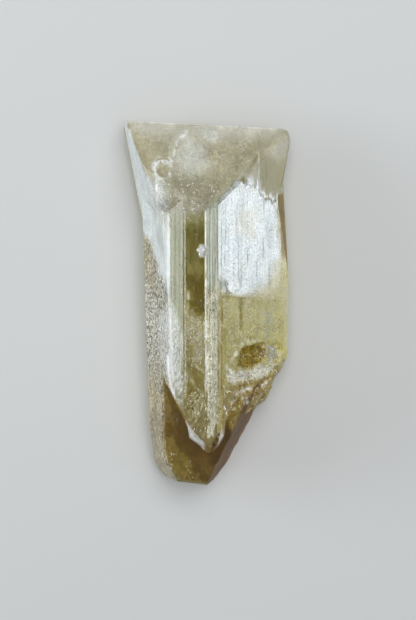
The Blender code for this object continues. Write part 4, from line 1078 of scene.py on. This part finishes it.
def danburiteMaterial():
    m = mineral
    material = bpy.data.materials.new("danburite")
    material.use_nodes = True
    tree = material.node_tree
    shader = tree.nodes["Principled BSDF"]

    def calculate(operation, first, second, third=None, clamp=False):
        inputs = {0: first, 1: second} if third is None else {0: first, 1: second, 2: third}
        return node(tree, "ShaderNodeMath", inputs, operation=operation, use_clamp=clamp).outputs[0]

    def attribute(name):
        return node(tree, "ShaderNodeAttribute", attribute_name=name)

    spot = node(tree, "ShaderNodeTexCoord").outputs["Object"]

    def scaled(size):
        factor = tuple(1.0 / (part * millimetre) for part in size)
        return node(tree, "ShaderNodeVectorMath", {0: spot, 1: factor}, operation="MULTIPLY").outputs[0]

    def pattern(size, detail, low, high):
        # noise spread from 0 to 1 between two levels
        cloud = node(tree, "ShaderNodeTexNoise", {"Vector": scaled(size), "Scale": 1.0, "Detail": detail}).outputs[0]
        return node(tree, "ShaderNodeMapRange", {0: cloud, 1: low, 2: high}).outputs[0]

    def grains(size):
        # a random level from 0 to 1 for each cell
        cells = node(tree, "ShaderNodeTexVoronoi", {"Vector": scaled(size), "Scale": 1.0})
        return node(tree, "ShaderNodeSeparateColor", {0: cells.outputs["Color"]}).outputs[0]

    frost, rough, grain, fibre, stria, facet, fleck, specksAndGlints = (attribute(name).outputs["Fac"] for name in patterns)
    specks = calculate("MULTIPLY_ADD", grains(m["cellSize"]), m["cellShare"],
                       calculate("MULTIPLY", pattern(m["grainSize"], 4.0, 0.36, 0.64), 1.0 - m["cellShare"]))
    dashes = pattern(m["fibreSize"], 2.0, 0.36, 0.64)
    threads = pattern(m["striaSize"], 2.0, 0.36, 0.64)
    clouds = pattern(m["cloudSize"], 4.0, 0.35, 0.65)
    wander = pattern(m["wanderSize"], 3.0, 0.30, 0.70)
    # cells tilted at random: the offset from each cell's middle, times the cell's own random direction
    inCells = scaled(m["facetSize"])
    cells = node(tree, "ShaderNodeTexVoronoi", {"Vector": inCells, "Scale": 1.0})
    offset = node(tree, "ShaderNodeVectorMath", {0: inCells, 1: cells.outputs["Position"]}, operation="SUBTRACT").outputs[0]
    lean = node(tree, "ShaderNodeVectorMath", {0: cells.outputs["Color"], 1: (0.5, 0.5, 0.5)},
                operation="SUBTRACT").outputs[0]
    tilted = node(tree, "ShaderNodeVectorMath", {0: offset, 1: lean}, operation="DOT_PRODUCT").outputs["Value"]

    flecks = pattern(m["fleckSize"], 2.0, 0.46, 0.35)
    # white specks, partly painted glints: near the middle of those cells whose own random number is low enough
    dotCells = node(tree, "ShaderNodeTexVoronoi", {"Vector": scaled(m["dotSize"]), "Scale": 1.0})
    own = node(tree, "ShaderNodeSeparateColor", {0: dotCells.outputs["Color"]}).outputs[0]
    reach = m["dotReach"]
    speckAndGlintSpots = node(tree, "ShaderNodeMapRange", {0: dotCells.outputs["Distance"], 1: reach, 2: reach * 0.5}).outputs[0]
    speckAndGlintSpots = calculate("MULTIPLY", speckAndGlintSpots, calculate("LESS_THAN", own, m["dotShare"]))
    speckAndGlintSpots = calculate("MULTIPLY", speckAndGlintSpots, specksAndGlints)

    # the coat is lighter and denser in its specks and dashes, and darker in its flecks
    shade = calculate("ADD", calculate("MULTIPLY", calculate("SUBTRACT", specks, 0.5), grain),
                      calculate("MULTIPLY", calculate("SUBTRACT", dashes, 0.55), fibre))
    shade = calculate("MULTIPLY_ADD", calculate("SUBTRACT", threads, 0.5), stria, shade)
    shade = calculate("SUBTRACT", shade, calculate("MULTIPLY", calculate("MULTIPLY", flecks, fleck), 0.7))
    lighter = calculate("MULTIPLY_ADD", shade, 0.85, calculate("MULTIPLY_ADD", wander, 0.20, 0.90))
    tone = node(tree, "ShaderNodeVectorMath", {0: attribute("tone").outputs["Color"], "Scale": lighter},
                operation="SCALE").outputs[0]
    colour = node(tree, "ShaderNodeMix", {0: speckAndGlintSpots, 6: tone, 7: (0.95, 0.95, 0.90, 1.0)}, data_type="RGBA",
                  clamp_result=True)
    milk = calculate("MULTIPLY", frost, calculate("MULTIPLY_ADD", clouds, 0.30, 0.85))
    coat = calculate("MULTIPLY_ADD", shade, calculate("MULTIPLY_ADD", frost, 0.6, 0.12), milk, clamp=True)
    coat = calculate("MULTIPLY_ADD", speckAndGlintSpots, 0.6, coat, clamp=True)
    tree.links.new(colour.outputs[2], shader.inputs["Base Color"])
    tree.links.new(calculate("SUBTRACT", 1.0, coat, clamp=True), shader.inputs["Transmission Weight"])
    tree.links.new(calculate("MULTIPLY_ADD", clouds, 0.06, rough), shader.inputs["Roughness"])
    shader.inputs["IOR"].default_value = m["ior"]

    height = calculate("MULTIPLY", calculate("MULTIPLY", specks, grain), m["grainHeight"])
    height = calculate("ADD", height, calculate("MULTIPLY", calculate("MULTIPLY", dashes, fibre), m["fibreHeight"]))
    height = calculate("ADD", height, calculate("MULTIPLY", calculate("MULTIPLY", threads, stria), m["striaHeight"]))
    height = calculate("ADD", height, calculate("MULTIPLY", calculate("MULTIPLY", tilted, facet), m["facetHeight"]))
    height = calculate("MULTIPLY_ADD", speckAndGlintSpots, m["dotHeight"], height)
    bump = node(tree, "ShaderNodeBump", {"Height": height, "Distance": millimetre, "Strength": 1.0})
    tree.links.new(bump.outputs[0], shader.inputs["Normal"])
    absorb = node(tree, "ShaderNodeVolumeAbsorption", {"Color": (*m["tint"], 1.0), "Density": m["density"]})
    tree.links.new(absorb.outputs[0], tree.nodes["Material Output"].inputs["Volume"])
    return material


paintCrystal(stone)
stone.data.materials.clear()
stone.data.materials.append(danburiteMaterial())
stone.data.shade_smooth()
stone.data.set_sharp_from_angle(angle=math.radians(22))
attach(stone, "root")
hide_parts("danburite_crystal")
print("painted")

# Floor, lights and camera
studio = {
    "pixel": 0.00017,                   # size of one pixel of the picture at the crystal, in metres
    "picture": (416, 620),
    "lens": 150.0,
    "sensor": 36.0,
    "tilt": 10.0,                       # degrees that the camera leans towards the head
    "aim": (0.34, -1.36, 5.1),          # layout point in the middle of the picture, its y before the tilt
}


def makeCamera():
    s = studio
    tilt = math.radians(s["tilt"])
    away = s["pixel"] * s["picture"][1] * s["lens"] / s["sensor"]
    aim = (np.array([s["aim"][0], s["aim"][1] / math.cos(tilt), s["aim"][2]]) + layoutShift) * millimetre
    camera = bpy.data.cameras.new("camera")
    camera.lens = s["lens"]
    camera.sensor_width = s["sensor"]
    camera.clip_start = 0.01
    thing = bpy.data.objects.new("camera", camera)
    bpy.context.scene.collection.objects.link(thing)
    thing.location = aim + away * np.array([0.0, math.sin(tilt), math.cos(tilt)])
    thing.rotation_euler = (-tilt, 0.0, 0.0)
    bpy.context.scene.camera = thing


def makeFloor():
    size = 3.0
    mesh = bpy.data.meshes.new("floor")
    mesh.from_pydata([(-size, -size, -0.00005), (size, -size, -0.00005), (size, size, -0.00005), (-size, size, -0.00005)],
                     [], [(0, 1, 2, 3)])
    floor = bpy.data.objects.new("floor", mesh)
    bpy.context.scene.collection.objects.link(floor)
    paint = bpy.data.materials.new("floor")
    paint.use_nodes = True
    shader = paint.node_tree.nodes["Principled BSDF"]
    shader.inputs["Base Color"].default_value = (0.62, 0.62, 0.61, 1)
    shader.inputs["Roughness"].default_value = 0.7
    mesh.materials.append(paint)


def softbox(name, place, aim, size, radiance, tint=(1.0, 1.0, 1.0)):
    light = bpy.data.lights.new(name, "AREA")
    light.shape = "RECTANGLE"
    light.size, light.size_y = size
    light.energy = radiance * math.pi * size[0] * size[1]
    light.color = tint
    lamp = bpy.data.objects.new(name, light)
    bpy.context.scene.collection.objects.link(lamp)
    lamp.location = place
    lamp.rotation_euler = (Vector(aim) - Vector(place)).to_track_quat("-Z", "Y").to_euler()


makeCamera()
makeFloor()
softbox("right panel", (0.30, -0.018, 0.03), (0.0, -0.018, 0.03), (0.064, 0.060), 7.2, (0.90, 0.96, 1.0))
softbox("top box", (0.1, 0.25, 0.6), (0, 0, 0), (0.5, 0.5), 4.2, (0.98, 0.99, 1.0))
softbox("left box", (-0.4, 0.05, 0.12), (0, 0, 0.01), (0.3, 0.2), 5.4, (0.90, 0.96, 1.0))
world = bpy.data.worlds.new("studio")
bpy.context.scene.world = world
world.use_nodes = True
world.node_tree.nodes["Background"].inputs["Color"].default_value = (0.9, 0.95, 1.0, 1)
world.node_tree.nodes["Background"].inputs["Strength"].default_value = 0.28
bpy.context.scene.view_settings.view_transform = "Standard"
bpy.context.scene.cycles.use_denoising = True
bpy.context.scene.cycles.transmission_bounces = 16
bpy.context.scene.cycles.max_bounces = 24
